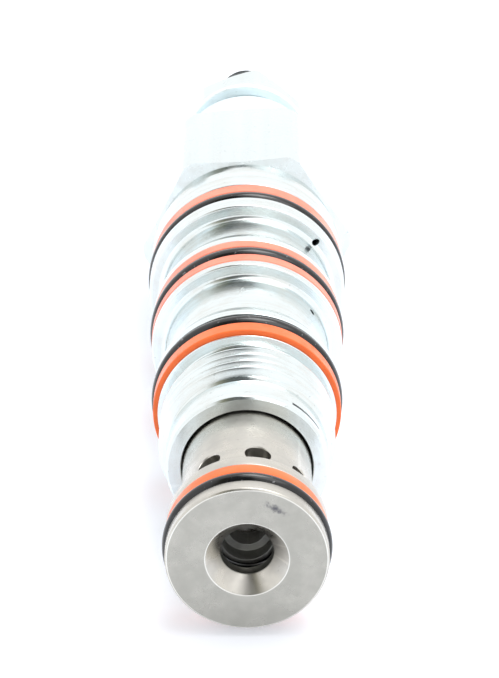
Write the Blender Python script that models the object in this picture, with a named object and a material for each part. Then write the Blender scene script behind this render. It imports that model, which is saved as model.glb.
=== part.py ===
"""Four-port screw-in hydraulic cartridge valve with a screw adjuster.

The valve lies along Y with its nose towards -Y. The origin is on the axis, in the plane of the
shoulder behind the cavity thread. Sizes are in millimetres, and a station is a distance along the
axis from the nose face. Pieces are turned, coiled or swept about the valve's axis.
"""

from math import cos, pi, radians, sin, sqrt, tau

import bmesh
import bpy
from mathutils import Matrix, Vector

MM = 0.001
SIDES = 30
SMALL_SIDES = 20
CORD_SIDES = 8
SMALL_CORD_SIDES = 6

# Fits: the gap between resting pieces, and the radial play of a sliding or turning piece.
REST_GAP = 0.3
PLAY = 0.1

# How far a cutter runs past the wall it opens, across the axis and along it.
CUT_MARGIN = 1.0
CUT_END_MARGIN = 0.1

# Seals: one cord section for every O-ring, one thickness for every backup ring.
SEAL_SECTION = 1.78
BACKUP_THICKNESS = 1.2

# Nose sleeve.
NOSE_RADIUS = 8.55
NOSE_EDGE = 0.35
NOSE_LAND_LENGTH = 1.75
NOSE_REAR_LAND_LENGTH = 1.6
NOSE_SEAL_RADIUS = 9.06
NOSE_BACKUP_RADIUS = 8.75
SLEEVE_RADIUS = 7.15
SLEEVE_BORE_RADIUS = 5.3
PORT_1_RADIUS = 2.8
PORT_1_MOUTH_RADIUS = 4.45
PORT_1_MOUTH_DEPTH = 1.75
NOSE_FLOOR_STATION = 3.0
PORT_2_STATION = 10.5
PORT_2_HOLE_RADIUS = 1.5
PORT_2_HOLES = 8
PORT_2_TURN_DEG = 9.5

# Cavity thread, M20 x 1.5.
BODY_FRONT_STATION = 18.9
BODY_FACE_RADIUS = 8.6
FACE_CHAMFER = 0.5
PILOT_LENGTH = 3.5
LEAD_IN_CHAMFER = 0.7
THREAD_RADIUS = 10.0
THREAD_PITCH = 1.5
THREAD_RIDGES = 5
THREAD_RELIEF_LENGTH = 1.1
SHOULDER_RADIUS = 10.3
SHOULDER_LAND_LENGTH = 0.4

# Three seal stacks on the body, each larger than the one before it, with a waist at each port.
LOW_LAND_RADIUS = 10.9
LOW_SEAL_RADIUS = 11.1
LOW_BACKUP_RADIUS = 11.0
LOW_REAR_LAND_LENGTH = 1.1
WAIST_3_RADIUS = 9.7
WAIST_3_LENGTH = 8.6
MID_LAND_RADIUS = 11.45
MID_SEAL_RADIUS = 11.75
MID_BACKUP_RADIUS = 11.65
MID_FRONT_LAND_LENGTH = 1.1
MID_REAR_LAND_LENGTH = 1.2
WAIST_4_RADIUS = 10.4
WAIST_4_LENGTH = 5.1
TOP_LAND_RADIUS = 12.2
TOP_SEAL_RADIUS = 12.4
TOP_BACKUP_RADIUS = 12.3
TOP_FRONT_LAND_LENGTH = 2.4
TOP_REAR_LAND_LENGTH = 2.7
LAND_BEVEL_LENGTH = 2.0
LAND_BEVEL_DROP = 0.7
LAND_EDGE = 0.25
WAIST_FILLET = 0.7
PILOT_HOLE_RADIUS = 0.5
PILOT_HOLE_TURN_DEG = 50.0
PORT_4_HOLE_MOUTH = 0.25
PORT_4_HOLE_REACH = 4.6

# Hexagon and the steps in front of it.
STEP_RADII = (11.95, 11.6)
STEP_LENGTHS = (2.5, 2.1)
HEX_ACROSS_FLATS = 24.0
HEX_CORNER_RADIUS = 13.45
HEX_LENGTH = 17.1
HEX_CHAMFER_LENGTH = 1.0
HEX_TURN_DEG = 4.0

# Bores of the body.
SLEEVE_CLEARANCE = 0.3
SLEEVE_BORE_EDGE = 0.1
SLEEVE_TAIL_LENGTH = 1.6
BUSH_BORE_RADIUS = 6.0
SPRING_BORE_RADIUS = 7.6
REAR_BORE_RADIUS = 8.6
REAR_BORE_CLEARANCE = 1.56
BORE_EDGE = 0.3

# Snap rings that hold the sleeve and the guide bush.
SNAP_RING_THICKNESS = 1.0
SNAP_RING_GAP_DEG = 34.0
SLEEVE_RING_STATION = 24.0
SLEEVE_RING_INNER = 6.8
SLEEVE_RING_OUTER = 8.0
BUSH_RING_INNER = 6.6
BUSH_RING_OUTER = 8.1

# Free-flow check: a seat ring held towards the piston by a light spring.
SEAT_FRONT_STATION = 4.7
SEAT_FACE_STATION = 8.9
SEAT_POCKET_DEPTH = 2.0
SEAT_POCKET_RADIUS = 4.5
SEAT_BORE_RADIUS = 2.0
SEAT_EDGE = 0.2
SEAT_STEP_STATION = 6.3
SKIRT_STATION = 4.5
SKIRT_RADIUS = 3.3
CHECK_WIRE_RADIUS = 0.25
CHECK_COIL_RADIUS = 3.85
CHECK_TURNS = 3.0

# Relief piston.
PISTON_TIP_RADIUS = 1.2
PISTON_TIP_STATION = 8.3
PISTON_HEAD_RADIUS = 2.9
PISTON_HEAD_STATION = 10.4
PISTON_HEAD_LENGTH = 0.4
PISTON_HEAD_TAPER = 0.7
PISTON_NECK_RADIUS = 2.2
PISTON_STEM_RADIUS = 2.4
PISTON_LAND_STATION = 16.0
PISTON_LAND_LENGTH = 6.0
PISTON_LAND_TAPER = 0.5
PILOT_LAND_RADIUS = 3.4
PILOT_LAND_STATION = 46.2
PILOT_LAND_LENGTH = 5.5
PISTON_RING_WIDTH = 1.0
PISTON_RING_DEPTH = 0.75
PISTON_RING_EDGE = 0.1

# Guide bush between the sleeve and the spring chamber.
BUSH_CLEARANCE = 0.3
BUSH_FLANGE_RADIUS = 7.3
BUSH_FLANGE_LENGTH = 1.7
BUSH_SEAL_SECTION = 1.2
BUSH_SEAL_PLAY = 0.1
BUSH_FRONT_SEAL_INSET = 2.7
BUSH_REAR_SEAL_INSET = 1.2
BUSH_GALLERY_STATION = 44.0
BUSH_GALLERY_LENGTH = 3.0
BUSH_GALLERY_DEPTH = 0.8
BUSH_HOLE_INSET = 1.0
BUSH_PILOT_STATION = 41.0

# Main spring and its seats.
SPRING_WIRE_RADIUS = 0.95
SPRING_COIL_RADIUS = 5.2
SPRING_TURNS = 6.0
SPRING_LENGTH = 18.4
CLOSED_TURN_PITCH = 2.2
SPRING_SEAT_RADIUS = 6.2
SPRING_SPIGOT_RADIUS = 3.9
SPRING_SPIGOT_LENGTH = 3.0
LOWER_SEAT_THICKNESS = 1.6
UPPER_SEAT_THICKNESS = 2.0
UPPER_BOSS_LENGTH = 1.5
UPPER_BOSS_RADIUS = 3.6
SCREW_TIP_RADIUS = 2.0
SEAT_SOCKET_DEPTH = 1.1
SPIGOT_EDGE = 0.4

# Adjuster: bush, screw, washer and lock nut, with an M8 x 1 thread.
ADJUSTER_TRAVEL = 5.0
ADJUSTER_CLEARANCE = 0.25
ADJUSTER_SEAT_GAP = 1.0
ADJUSTER_COLLAR_RADIUS = 9.4
ADJUSTER_COLLAR_LENGTH = 11.2
ADJUSTER_NECK_RADIUS = 7.4
ADJUSTER_NECK_LENGTH = 4.2
ADJUSTER_EDGE = 0.8
ADJUSTER_SEAL_SECTION = 1.5
ADJUSTER_SEAL_INSET = 4.0
SCREW_THREAD_RADIUS = 4.0
SCREW_SEAL_RADIUS = 5.15
SCREW_SEAL_SECTION = 1.3
SCREW_BARREL_LENGTH = 8.5
SCREW_FLANGE_RADIUS = 5.6
SCREW_FLANGE_LENGTH = 2.0
SCREW_PROUD_LENGTH = 9.5
SCREW_THREAD_GAP = 0.5
SCREW_TIP_EDGE = 0.3
SCREW_POINT = 0.7
SCREW_SOCKET_ACROSS_FLATS = 4.0
SCREW_SOCKET_DEPTH = 5.0
WASHER_RADIUS = 8.6
WASHER_THICKNESS = 1.2
WASHER_EDGE = 0.3
NUT_ACROSS_FLATS = 14.0
NUT_THICKNESS = 6.9
NUT_TURN_DEG = 20.0
NUT_FACE_SHARE = 0.97
NUT_BORE_EDGE = 0.5

# Colour, roughness and metallic value of each finish.
ZINC = ((0.80, 0.84, 0.87), 0.22, 1.0)
SATIN_STEEL = ((0.62, 0.60, 0.56), 0.35, 1.0)
GROUND_STEEL = ((0.70, 0.69, 0.66), 0.25, 1.0)
SPRING_STEEL = ((0.42, 0.43, 0.46), 0.32, 1.0)
BLACK_OXIDE = ((0.045, 0.045, 0.05), 0.42, 0.8)
NITRILE = ((0.012, 0.012, 0.013), 0.35, 0.0)
BACKUP_PLASTIC = ((0.95, 0.16, 0.03), 0.45, 0.0)


def stack(start, widths):
    """Places of rings set one behind the other in a groove: their ends, and the groove's end."""
    places = []
    station = start
    for width in widths:
        station += REST_GAP
        places.append((station, station + width))
        station += width
    return places, station + REST_GAP


# Stations that follow from the lengths above.
NOSE_STACK, NOSE_GROOVE_END = stack(NOSE_LAND_LENGTH, (SEAL_SECTION, BACKUP_THICKNESS))
NOSE_LAND_END = NOSE_GROOVE_END + NOSE_REAR_LAND_LENGTH
THREAD_START = BODY_FRONT_STATION + PILOT_LENGTH
THREAD_END = THREAD_START + THREAD_RIDGES * THREAD_PITCH
SHOULDER = THREAD_END + THREAD_RELIEF_LENGTH
LOW_GROOVE = SHOULDER + SHOULDER_LAND_LENGTH
LOW_STACK, LOW_GROOVE_END = stack(LOW_GROOVE, (BACKUP_THICKNESS, SEAL_SECTION))
LOW_LAND_END = LOW_GROOVE_END + LOW_REAR_LAND_LENGTH
WAIST_3_START = LOW_LAND_END + LAND_BEVEL_LENGTH
WAIST_3_END = WAIST_3_START + WAIST_3_LENGTH
MID_GROOVE = WAIST_3_END + MID_FRONT_LAND_LENGTH
MID_STACK, MID_GROOVE_END = stack(MID_GROOVE, (BACKUP_THICKNESS, SEAL_SECTION, BACKUP_THICKNESS))
MID_LAND_END = MID_GROOVE_END + MID_REAR_LAND_LENGTH
WAIST_4_START = MID_LAND_END + LAND_BEVEL_LENGTH
WAIST_4_END = WAIST_4_START + WAIST_4_LENGTH
TOP_GROOVE = WAIST_4_END + TOP_FRONT_LAND_LENGTH
TOP_STACK, TOP_GROOVE_END = stack(TOP_GROOVE, (SEAL_SECTION, BACKUP_THICKNESS))
TOP_LAND_END = TOP_GROOVE_END + TOP_REAR_LAND_LENGTH
STEP_END = TOP_LAND_END + STEP_LENGTHS[0]
HEX_START = STEP_END + STEP_LENGTHS[1]
HEX_END = HEX_START + HEX_LENGTH

SLEEVE_END = SHOULDER + SLEEVE_TAIL_LENGTH
SLEEVE_SHOULDER = SLEEVE_END + REST_GAP
BUSH_FRONT = SLEEVE_SHOULDER + REST_GAP
BUSH_SHOULDER = PILOT_LAND_STATION + PILOT_LAND_LENGTH + REST_GAP
BUSH_FLANGE = BUSH_SHOULDER + REST_GAP
BUSH_END = BUSH_FLANGE + BUSH_FLANGE_LENGTH
BUSH_RING_STATION = BUSH_END + REST_GAP

LOWER_SEAT_FRONT = BUSH_RING_STATION + SNAP_RING_THICKNESS + 2 * REST_GAP
LOWER_SEAT_BACK = LOWER_SEAT_FRONT + LOWER_SEAT_THICKNESS
SPRING_START = LOWER_SEAT_BACK + REST_GAP
SPRING_END = SPRING_START + SPRING_LENGTH
UPPER_SEAT_FRONT = SPRING_END + REST_GAP
UPPER_SEAT_BACK = UPPER_SEAT_FRONT + UPPER_SEAT_THICKNESS
UPPER_BOSS_END = UPPER_SEAT_BACK + UPPER_BOSS_LENGTH
UPPER_SOCKET_BOTTOM = UPPER_BOSS_END - SEAT_SOCKET_DEPTH
PISTON_END = LOWER_SEAT_FRONT + SEAT_SOCKET_DEPTH

SCREW_TIP = UPPER_SOCKET_BOTTOM + REST_GAP
SCREW_FLANGE = UPPER_BOSS_END + ADJUSTER_SEAT_GAP
SCREW_BARREL = SCREW_FLANGE + SCREW_FLANGE_LENGTH
SCREW_THREAD = SCREW_BARREL + SCREW_BARREL_LENGTH
ADJUSTER_FRONT = UPPER_SEAT_BACK + ADJUSTER_SEAT_GAP
REAR_BORE_START = ADJUSTER_FRONT - REAR_BORE_CLEARANCE
ADJUSTER_STOP = SCREW_BARREL + REST_GAP
ADJUSTER_SEAL_END = SCREW_THREAD + SCREW_THREAD_GAP
ADJUSTER_COLLAR = HEX_END + REST_GAP
ADJUSTER_COLLAR_END = ADJUSTER_COLLAR + ADJUSTER_COLLAR_LENGTH
ADJUSTER_END = ADJUSTER_COLLAR_END + ADJUSTER_NECK_LENGTH
WASHER_START = ADJUSTER_END + REST_GAP
NUT_START = WASHER_START + WASHER_THICKNESS + REST_GAP
NUT_END = NUT_START + NUT_THICKNESS
SCREW_END = NUT_END + SCREW_PROUD_LENGTH


def clear_scene():
    for thing in list(bpy.data.objects):
        bpy.data.objects.remove(thing, do_unlink=True)


def finish(name, look):
    """A Principled material with one of the looks listed at the top."""
    colour, roughness, metallic = look
    material = bpy.data.materials.new(name)
    material.use_nodes = True
    shader = material.node_tree.nodes["Principled BSDF"]
    shader.inputs["Base Color"].default_value = (*colour, 1.0)
    shader.inputs["Roughness"].default_value = roughness
    shader.inputs["Metallic"].default_value = metallic
    return material


def placed(name, shape, station, look=None):
    """Makes an object of a bmesh whose origin lies on the axis at a station."""
    shape.normal_update()
    bmesh.ops.recalc_face_normals(shape, faces=shape.faces)
    mesh = bpy.data.meshes.new(name)
    shape.to_mesh(mesh)
    shape.free()
    mesh.shade_smooth()
    mesh.set_sharp_from_angle(angle=radians(35.0))
    thing = bpy.data.objects.new(name, mesh)
    thing.location = (0.0, (station - SHOULDER) * MM, 0.0)
    bpy.context.collection.objects.link(thing)
    if look:
        mesh.materials.append(finish(name, look))
    return thing


def turned(name, outline, look=None, sides=SIDES):
    """Spins an outline of (station, radius) corners about the valve's axis.

    An outline that starts and ends on the axis makes a solid piece. Any other is closed into a
    loop and makes a ring or a tube.
    """
    origin = min(station for station, _ in outline)
    shape = bmesh.new()
    corners = [
        shape.verts.new((radius * MM, (station - origin) * MM, 0.0)) for station, radius in outline
    ]
    edges = [shape.edges.new(pair) for pair in zip(corners, corners[1:])]
    if outline[0][1] > 0.0:
        edges.append(shape.edges.new((corners[-1], corners[0])))
    bmesh.ops.spin(
        shape,
        geom=corners + edges,
        cent=(0.0, 0.0, 0.0),
        axis=(0.0, 1.0, 0.0),
        angle=tau,
        steps=sides,
        use_merge=True,
    )
    bmesh.ops.remove_doubles(shape, verts=shape.verts, dist=0.001 * MM)
    return placed(name, shape, origin, look)


def swept(name, loops, station, look):
    """Joins closed loops of points, in metres from a station, and caps the first and the last."""
    shape = bmesh.new()
    rings = [[shape.verts.new(point) for point in loop] for loop in loops]
    for ring, following in zip(rings, rings[1:]):
        count = len(ring)
        for k in range(count):
            n = (k + 1) % count
            shape.faces.new((ring[k], ring[n], following[n], following[k]))
    shape.faces.new(rings[0])
    shape.faces.new(rings[-1])
    return placed(name, shape, station, look)


def about_axis(angle, radius, station):
    """The point at an angle from +Z towards +X, a radius and a distance along the axis."""
    return (radius * sin(angle) * MM, station * MM, radius * cos(angle) * MM)


def snap_ring(name, station, inner, outer):
    """A flat ring with a gap at the bottom."""
    half_gap = radians(SNAP_RING_GAP_DEG) / 2
    section = (
        (inner, 0.0),
        (outer, 0.0),
        (outer, SNAP_RING_THICKNESS),
        (inner, SNAP_RING_THICKNESS),
    )
    loops = []
    for k in range(SMALL_SIDES + 1):
        angle = pi + half_gap + (tau - 2 * half_gap) * k / SMALL_SIDES
        loops.append([about_axis(angle, radius, along) for radius, along in section])
    return swept(name, loops, station, SPRING_STEEL)


def coil(name, start, end, coil_radius, wire_radius, turns, per_turn=14):
    """A compression spring: one closed turn at each end, and an even pitch between them."""
    end_pitch = CLOSED_TURN_PITCH * wire_radius
    rise = (end - start - 2 * wire_radius - 2 * end_pitch) / (turns - 2)
    loops = []
    for k in range(round(turns * per_turn) + 1):
        turn = k / per_turn
        along = wire_radius + end_pitch * min(turn, 1.0)
        along += rise * min(max(turn - 1.0, 0.0), turns - 2)
        along += end_pitch * max(turn - turns + 1.0, 0.0)
        loop = []
        for side in range(SMALL_CORD_SIDES):
            around = tau * side / SMALL_CORD_SIDES
            radius = coil_radius + wire_radius * cos(around)
            loop.append(about_axis(tau * turn, radius, along + wire_radius * sin(around)))
        loops.append(loop)
    return swept(name, loops, start, SPRING_STEEL)


def o_ring(name, start, outer, section, sides=SIDES, cord_sides=CORD_SIDES):
    """A round-section ring whose front is at a station."""
    half = section / 2
    outline = []
    for k in range(cord_sides):
        angle = tau * k / cord_sides
        outline.append((start + half - half * cos(angle), outer - half + half * sin(angle)))
    return turned(name, outline, NITRILE, sides)


def flat_ring(name, start, end, inner, outer, look, edge=0.15, sides=SIDES):
    """A rectangular-section ring with its outer edges broken."""
    outline = [
        (start, inner),
        (start, outer - edge),
        (start + edge, outer),
        (end - edge, outer),
        (end, outer - edge),
        (end, inner),
    ]
    return turned(name, outline, look, sides)


def above_axis(place):
    """A (station, radius) point above the axis, as a vector in metres from the shoulder."""
    station, radius = place
    return Vector((0.0, (station - SHOULDER) * MM, radius * MM))


def round_cutter(name, radius, near, far, angle, sides=12):
    """A cylinder between two (station, radius) points in the half-plane at an angle from +Z."""
    turned_by = Matrix.Rotation(angle, 3, "Y")
    start = turned_by @ above_axis(near)
    end = turned_by @ above_axis(far)
    along = end - start
    shape = bmesh.new()
    bmesh.ops.create_cone(
        shape,
        cap_ends=True,
        segments=sides,
        radius1=radius * MM,
        radius2=radius * MM,
        depth=along.length,
    )
    turn = along.to_track_quat("Z", "Y").to_matrix().to_4x4()
    shape.transform(Matrix.Translation((start + end) / 2) @ turn)
    return placed(name, shape, SHOULDER)


def hex_cutter(name, start, end, across_flats, turn_deg):
    """A block with a hexagonal hole: cutting with it leaves a hexagon."""
    inner = across_flats / sqrt(3)
    shape = bmesh.new()
    rings = []
    depth = end - start
    for along, radius in ((0.0, inner), (0.0, 2 * inner), (depth, 2 * inner), (depth, inner)):
        ring = []
        for k in range(6):
            angle = radians(30.0 - turn_deg) + tau * k / 6
            ring.append(shape.verts.new(about_axis(angle, radius, along)))
        rings.append(ring)
    for ring, following in zip(rings, rings[1:] + rings[:1]):
        for k in range(6):
            n = (k + 1) % 6
            shape.faces.new((ring[k], ring[n], following[n], following[k]))
    return placed(name, shape, start)


def hex_plug(name, start, end, across_flats):
    """A plain hexagonal prism, used to cut a socket."""
    shape = bmesh.new()
    bmesh.ops.create_cone(
        shape,
        cap_ends=True,
        segments=6,
        radius1=across_flats / sqrt(3) * MM,
        radius2=across_flats / sqrt(3) * MM,
        depth=(end - start) * MM,
        matrix=Matrix.Translation((0.0, (end - start) / 2 * MM, 0.0)) @ Matrix.Rotation(pi / 2, 4, "X"),
    )
    return placed(name, shape, start)


def cut(target, cutter):
    """Takes a cutter out of a piece, and hides the cutter."""
    cutter.hide_render = True
    cutter.display_type = "WIRE"
    boolean = target.modifiers.new(cutter.name, "BOOLEAN")
    boolean.operation = "DIFFERENCE"
    boolean.object = cutter


def fillet(station, radius, size, steps=3):
    """Corners of a quarter round that rises from a waist into the wall behind it."""
    corners = []
    for k in range(steps + 1):
        angle = pi / 2 * k / steps
        corners.append((station - size + size * sin(angle), radius + size - size * cos(angle)))
    return corners


def build_nose():
    """The floating sleeve with ports 1 and 2, its seals and the ring that holds it."""
    groove = NOSE_SEAL_RADIUS - SEAL_SECTION - REST_GAP
    ring_front = SLEEVE_RING_STATION - REST_GAP
    ring_back = SLEEVE_RING_STATION + SNAP_RING_THICKNESS + REST_GAP
    ring_seat = SLEEVE_RING_INNER - REST_GAP
    sleeve = turned(
        "nose_sleeve",
        [
            (0.0, PORT_1_MOUTH_RADIUS),
            (0.0, NOSE_RADIUS - NOSE_EDGE),
            (NOSE_EDGE, NOSE_RADIUS),
            (NOSE_LAND_LENGTH, NOSE_RADIUS),
            (NOSE_LAND_LENGTH, groove),
            (NOSE_GROOVE_END, groove),
            (NOSE_GROOVE_END, NOSE_RADIUS),
            (NOSE_LAND_END, NOSE_RADIUS),
            (NOSE_LAND_END, SLEEVE_RADIUS),
            (ring_front, SLEEVE_RADIUS),
            (ring_front, ring_seat),
            (ring_back, ring_seat),
            (ring_back, SLEEVE_RADIUS),
            (SLEEVE_END, SLEEVE_RADIUS),
            (SLEEVE_END, SLEEVE_BORE_RADIUS),
            (NOSE_FLOOR_STATION, SLEEVE_BORE_RADIUS),
            (NOSE_FLOOR_STATION, PORT_1_RADIUS),
            (PORT_1_MOUTH_DEPTH, PORT_1_RADIUS),
        ],
        SATIN_STEEL,
    )
    for k in range(PORT_2_HOLES):
        angle = radians(PORT_2_TURN_DEG) + tau * k / PORT_2_HOLES
        near = (PORT_2_STATION, SLEEVE_BORE_RADIUS - CUT_MARGIN)
        far = (PORT_2_STATION, SLEEVE_RADIUS + CUT_MARGIN)
        cut(sleeve, round_cutter(f"port_2_hole_{k}", PORT_2_HOLE_RADIUS, near, far, angle))
    o_ring("nose_o_ring", NOSE_STACK[0][0], NOSE_SEAL_RADIUS, SEAL_SECTION)
    backup = groove + REST_GAP
    flat_ring("nose_backup_ring", *NOSE_STACK[1], backup, NOSE_BACKUP_RADIUS, BACKUP_PLASTIC)
    snap_ring("sleeve_retaining_ring", SLEEVE_RING_STATION, SLEEVE_RING_INNER, SLEEVE_RING_OUTER)


def thread_outline():
    """Corners of the thread's ridges, with flats of an eighth and a quarter of the pitch."""
    depth = THREAD_PITCH * sqrt(3) / 2 * 5 / 8
    crest = THREAD_PITCH / 16
    foot = THREAD_PITCH * 3 / 8
    root = THREAD_RADIUS - depth * 17 / 15
    corners = []
    for k in range(THREAD_RIDGES):
        middle = THREAD_START + (k + 0.5) * THREAD_PITCH
        corners += [
            (middle - foot, root),
            (middle - crest, THREAD_RADIUS),
            (middle + crest, THREAD_RADIUS),
            (middle + foot, root),
        ]
    return corners


def land(start, end, radius, groove, groove_start, groove_end):
    """Corners of a seal land with a groove and a long bevel down to the waist behind it."""
    return [
        (start, radius - LAND_EDGE),
        (start + LAND_EDGE, radius),
        (groove_start, radius),
        (groove_start, groove),
        (groove_end, groove),
        (groove_end, radius),
        (end, radius),
        (end + LAND_BEVEL_LENGTH, radius - LAND_BEVEL_DROP),
    ]


def build_body():
    """The main body: cavity thread, three seal lands, two waists, hexagon and bores."""
    low_groove = LOW_SEAL_RADIUS - SEAL_SECTION - REST_GAP
    mid_groove = MID_SEAL_RADIUS - SEAL_SECTION - REST_GAP
    top_groove = TOP_SEAL_RADIUS - SEAL_SECTION - REST_GAP
    sleeve_bore = SLEEVE_RADIUS + SLEEVE_CLEARANCE
    thread = thread_outline()
    root = thread[0][1]
    outer = [
        (BODY_FRONT_STATION, sleeve_bore + SLEEVE_BORE_EDGE),
        (BODY_FRONT_STATION, BODY_FACE_RADIUS),
        (BODY_FRONT_STATION + FACE_CHAMFER, root),
        (THREAD_START, root),
        (THREAD_START + LEAD_IN_CHAMFER, THREAD_RADIUS),
        *thread[2:],
        (SHOULDER, root),
        (SHOULDER, SHOULDER_RADIUS),
        (LOW_GROOVE, SHOULDER_RADIUS),
        (LOW_GROOVE, low_groove),
        (LOW_GROOVE_END, low_groove),
        (LOW_GROOVE_END, LOW_LAND_RADIUS),
        (LOW_LAND_END, LOW_LAND_RADIUS),
        (WAIST_3_START, LOW_LAND_RADIUS - LAND_BEVEL_DROP),
        (WAIST_3_START, WAIST_3_RADIUS),
        *fillet(WAIST_3_END, WAIST_3_RADIUS, WAIST_FILLET),
        *land(WAIST_3_END, MID_LAND_END, MID_LAND_RADIUS, mid_groove, MID_GROOVE, MID_GROOVE_END),
        (WAIST_4_START, WAIST_4_RADIUS),
        *fillet(WAIST_4_END, WAIST_4_RADIUS, WAIST_FILLET),
        (WAIST_4_END, TOP_LAND_RADIUS - LAND_EDGE),
        (WAIST_4_END + LAND_EDGE, TOP_LAND_RADIUS),
        (TOP_GROOVE, TOP_LAND_RADIUS),
        (TOP_GROOVE, top_groove),
        (TOP_GROOVE_END, top_groove),
        (TOP_GROOVE_END, TOP_LAND_RADIUS),
        (TOP_LAND_END, TOP_LAND_RADIUS),
        (TOP_LAND_END, STEP_RADII[0]),
        (STEP_END, STEP_RADII[0]),
        (STEP_END, STEP_RADII[1]),
        (HEX_START, STEP_RADII[1]),
        (HEX_START + HEX_CHAMFER_LENGTH, HEX_CORNER_RADIUS),
        (HEX_END - HEX_CHAMFER_LENGTH, HEX_CORNER_RADIUS),
        (HEX_END, STEP_RADII[1]),
    ]
    ring_groove = BUSH_RING_OUTER + REST_GAP
    sleeve_groove = SLEEVE_RING_OUTER + REST_GAP
    inner = [
        (HEX_END, REAR_BORE_RADIUS + BORE_EDGE),
        (HEX_END - BORE_EDGE, REAR_BORE_RADIUS),
        (REAR_BORE_START, REAR_BORE_RADIUS),
        (REAR_BORE_START, SPRING_BORE_RADIUS),
        (BUSH_RING_STATION + SNAP_RING_THICKNESS + REST_GAP, SPRING_BORE_RADIUS),
        (BUSH_RING_STATION + SNAP_RING_THICKNESS + REST_GAP, ring_groove),
        (BUSH_RING_STATION - REST_GAP, ring_groove),
        (BUSH_RING_STATION - REST_GAP, SPRING_BORE_RADIUS),
        (BUSH_SHOULDER, SPRING_BORE_RADIUS),
        (BUSH_SHOULDER, BUSH_BORE_RADIUS),
        (SLEEVE_SHOULDER, BUSH_BORE_RADIUS),
        (SLEEVE_SHOULDER, sleeve_bore),
        (SLEEVE_RING_STATION + SNAP_RING_THICKNESS + REST_GAP, sleeve_bore),
        (SLEEVE_RING_STATION + SNAP_RING_THICKNESS + REST_GAP, sleeve_groove),
        (SLEEVE_RING_STATION - REST_GAP, sleeve_groove),
        (SLEEVE_RING_STATION - REST_GAP, sleeve_bore),
        (BODY_FRONT_STATION + SLEEVE_BORE_EDGE, sleeve_bore),
    ]
    body = turned("valve_body", outer + inner, ZINC)
    hexagon = hex_cutter(
        "hexagon_flats",
        HEX_START - CUT_END_MARGIN,
        HEX_END + CUT_END_MARGIN,
        HEX_ACROSS_FLATS,
        HEX_TURN_DEG,
    )
    cut(body, hexagon)
    pilot_station = BUSH_GALLERY_STATION + BUSH_GALLERY_LENGTH / 2
    mouth_radius = WAIST_4_RADIUS + WAIST_FILLET + PORT_4_HOLE_MOUTH
    wall_hole = (WAIST_4_END - CUT_MARGIN, mouth_radius)
    chamber = (WAIST_4_END + PORT_4_HOLE_REACH, SPRING_BORE_RADIUS - 2 * PILOT_HOLE_RADIUS)
    for k in range(2):
        angle = radians(PILOT_HOLE_TURN_DEG) + pi * k
        near = (pilot_station, BUSH_BORE_RADIUS - PILOT_HOLE_RADIUS)
        far = (pilot_station, WAIST_3_RADIUS + CUT_MARGIN)
        cut(body, round_cutter(f"port_3_hole_{k}", PILOT_HOLE_RADIUS, near, far, angle, 10))
        cut(body, round_cutter(f"port_4_hole_{k}", PILOT_HOLE_RADIUS, chamber, wall_hole, angle, 10))


def build_body_seals():
    """The O-rings and backup rings of the three body seals."""
    low_inner = LOW_SEAL_RADIUS - SEAL_SECTION
    mid_inner = MID_SEAL_RADIUS - SEAL_SECTION
    top_inner = TOP_SEAL_RADIUS - SEAL_SECTION
    flat_ring("thread_seal_backup_ring", *LOW_STACK[0], low_inner, LOW_BACKUP_RADIUS, BACKUP_PLASTIC)
    o_ring("thread_seal_o_ring", LOW_STACK[1][0], LOW_SEAL_RADIUS, SEAL_SECTION)
    flat_ring("mid_seal_front_backup_ring", *MID_STACK[0], mid_inner, MID_BACKUP_RADIUS, BACKUP_PLASTIC)
    o_ring("mid_seal_o_ring", MID_STACK[1][0], MID_SEAL_RADIUS, SEAL_SECTION)
    flat_ring("mid_seal_rear_backup_ring", *MID_STACK[2], mid_inner, MID_BACKUP_RADIUS, BACKUP_PLASTIC)
    o_ring("top_seal_o_ring", TOP_STACK[0][0], TOP_SEAL_RADIUS, SEAL_SECTION)
    flat_ring("top_seal_backup_ring", *TOP_STACK[1], top_inner, TOP_BACKUP_RADIUS, BACKUP_PLASTIC)


def build_check():
    """The free-flow check: a seat ring in the sleeve's bore and the light spring in front of it."""
    pocket_floor = SEAT_FRONT_STATION + SEAT_POCKET_DEPTH
    outer = SLEEVE_BORE_RADIUS - PLAY
    turned(
        "check_seat",
        [
            (SEAT_FRONT_STATION, SEAT_POCKET_RADIUS),
            (SEAT_FRONT_STATION, outer),
            (SEAT_FACE_STATION, outer),
            (SEAT_FACE_STATION, SEAT_BORE_RADIUS + SEAT_EDGE),
            (SEAT_FACE_STATION - SEAT_EDGE, SEAT_BORE_RADIUS),
            (SEAT_STEP_STATION, SEAT_BORE_RADIUS),
            (SEAT_STEP_STATION, PORT_1_RADIUS),
            (SKIRT_STATION, PORT_1_RADIUS),
            (SKIRT_STATION, SKIRT_RADIUS),
            (pocket_floor, SKIRT_RADIUS),
            (pocket_floor, SEAT_POCKET_RADIUS),
        ],
        GROUND_STEEL,
    )
    coil(
        "check_spring",
        NOSE_FLOOR_STATION + REST_GAP,
        pocket_floor - REST_GAP,
        CHECK_COIL_RADIUS,
        CHECK_WIRE_RADIUS,
        CHECK_TURNS,
    )


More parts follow.
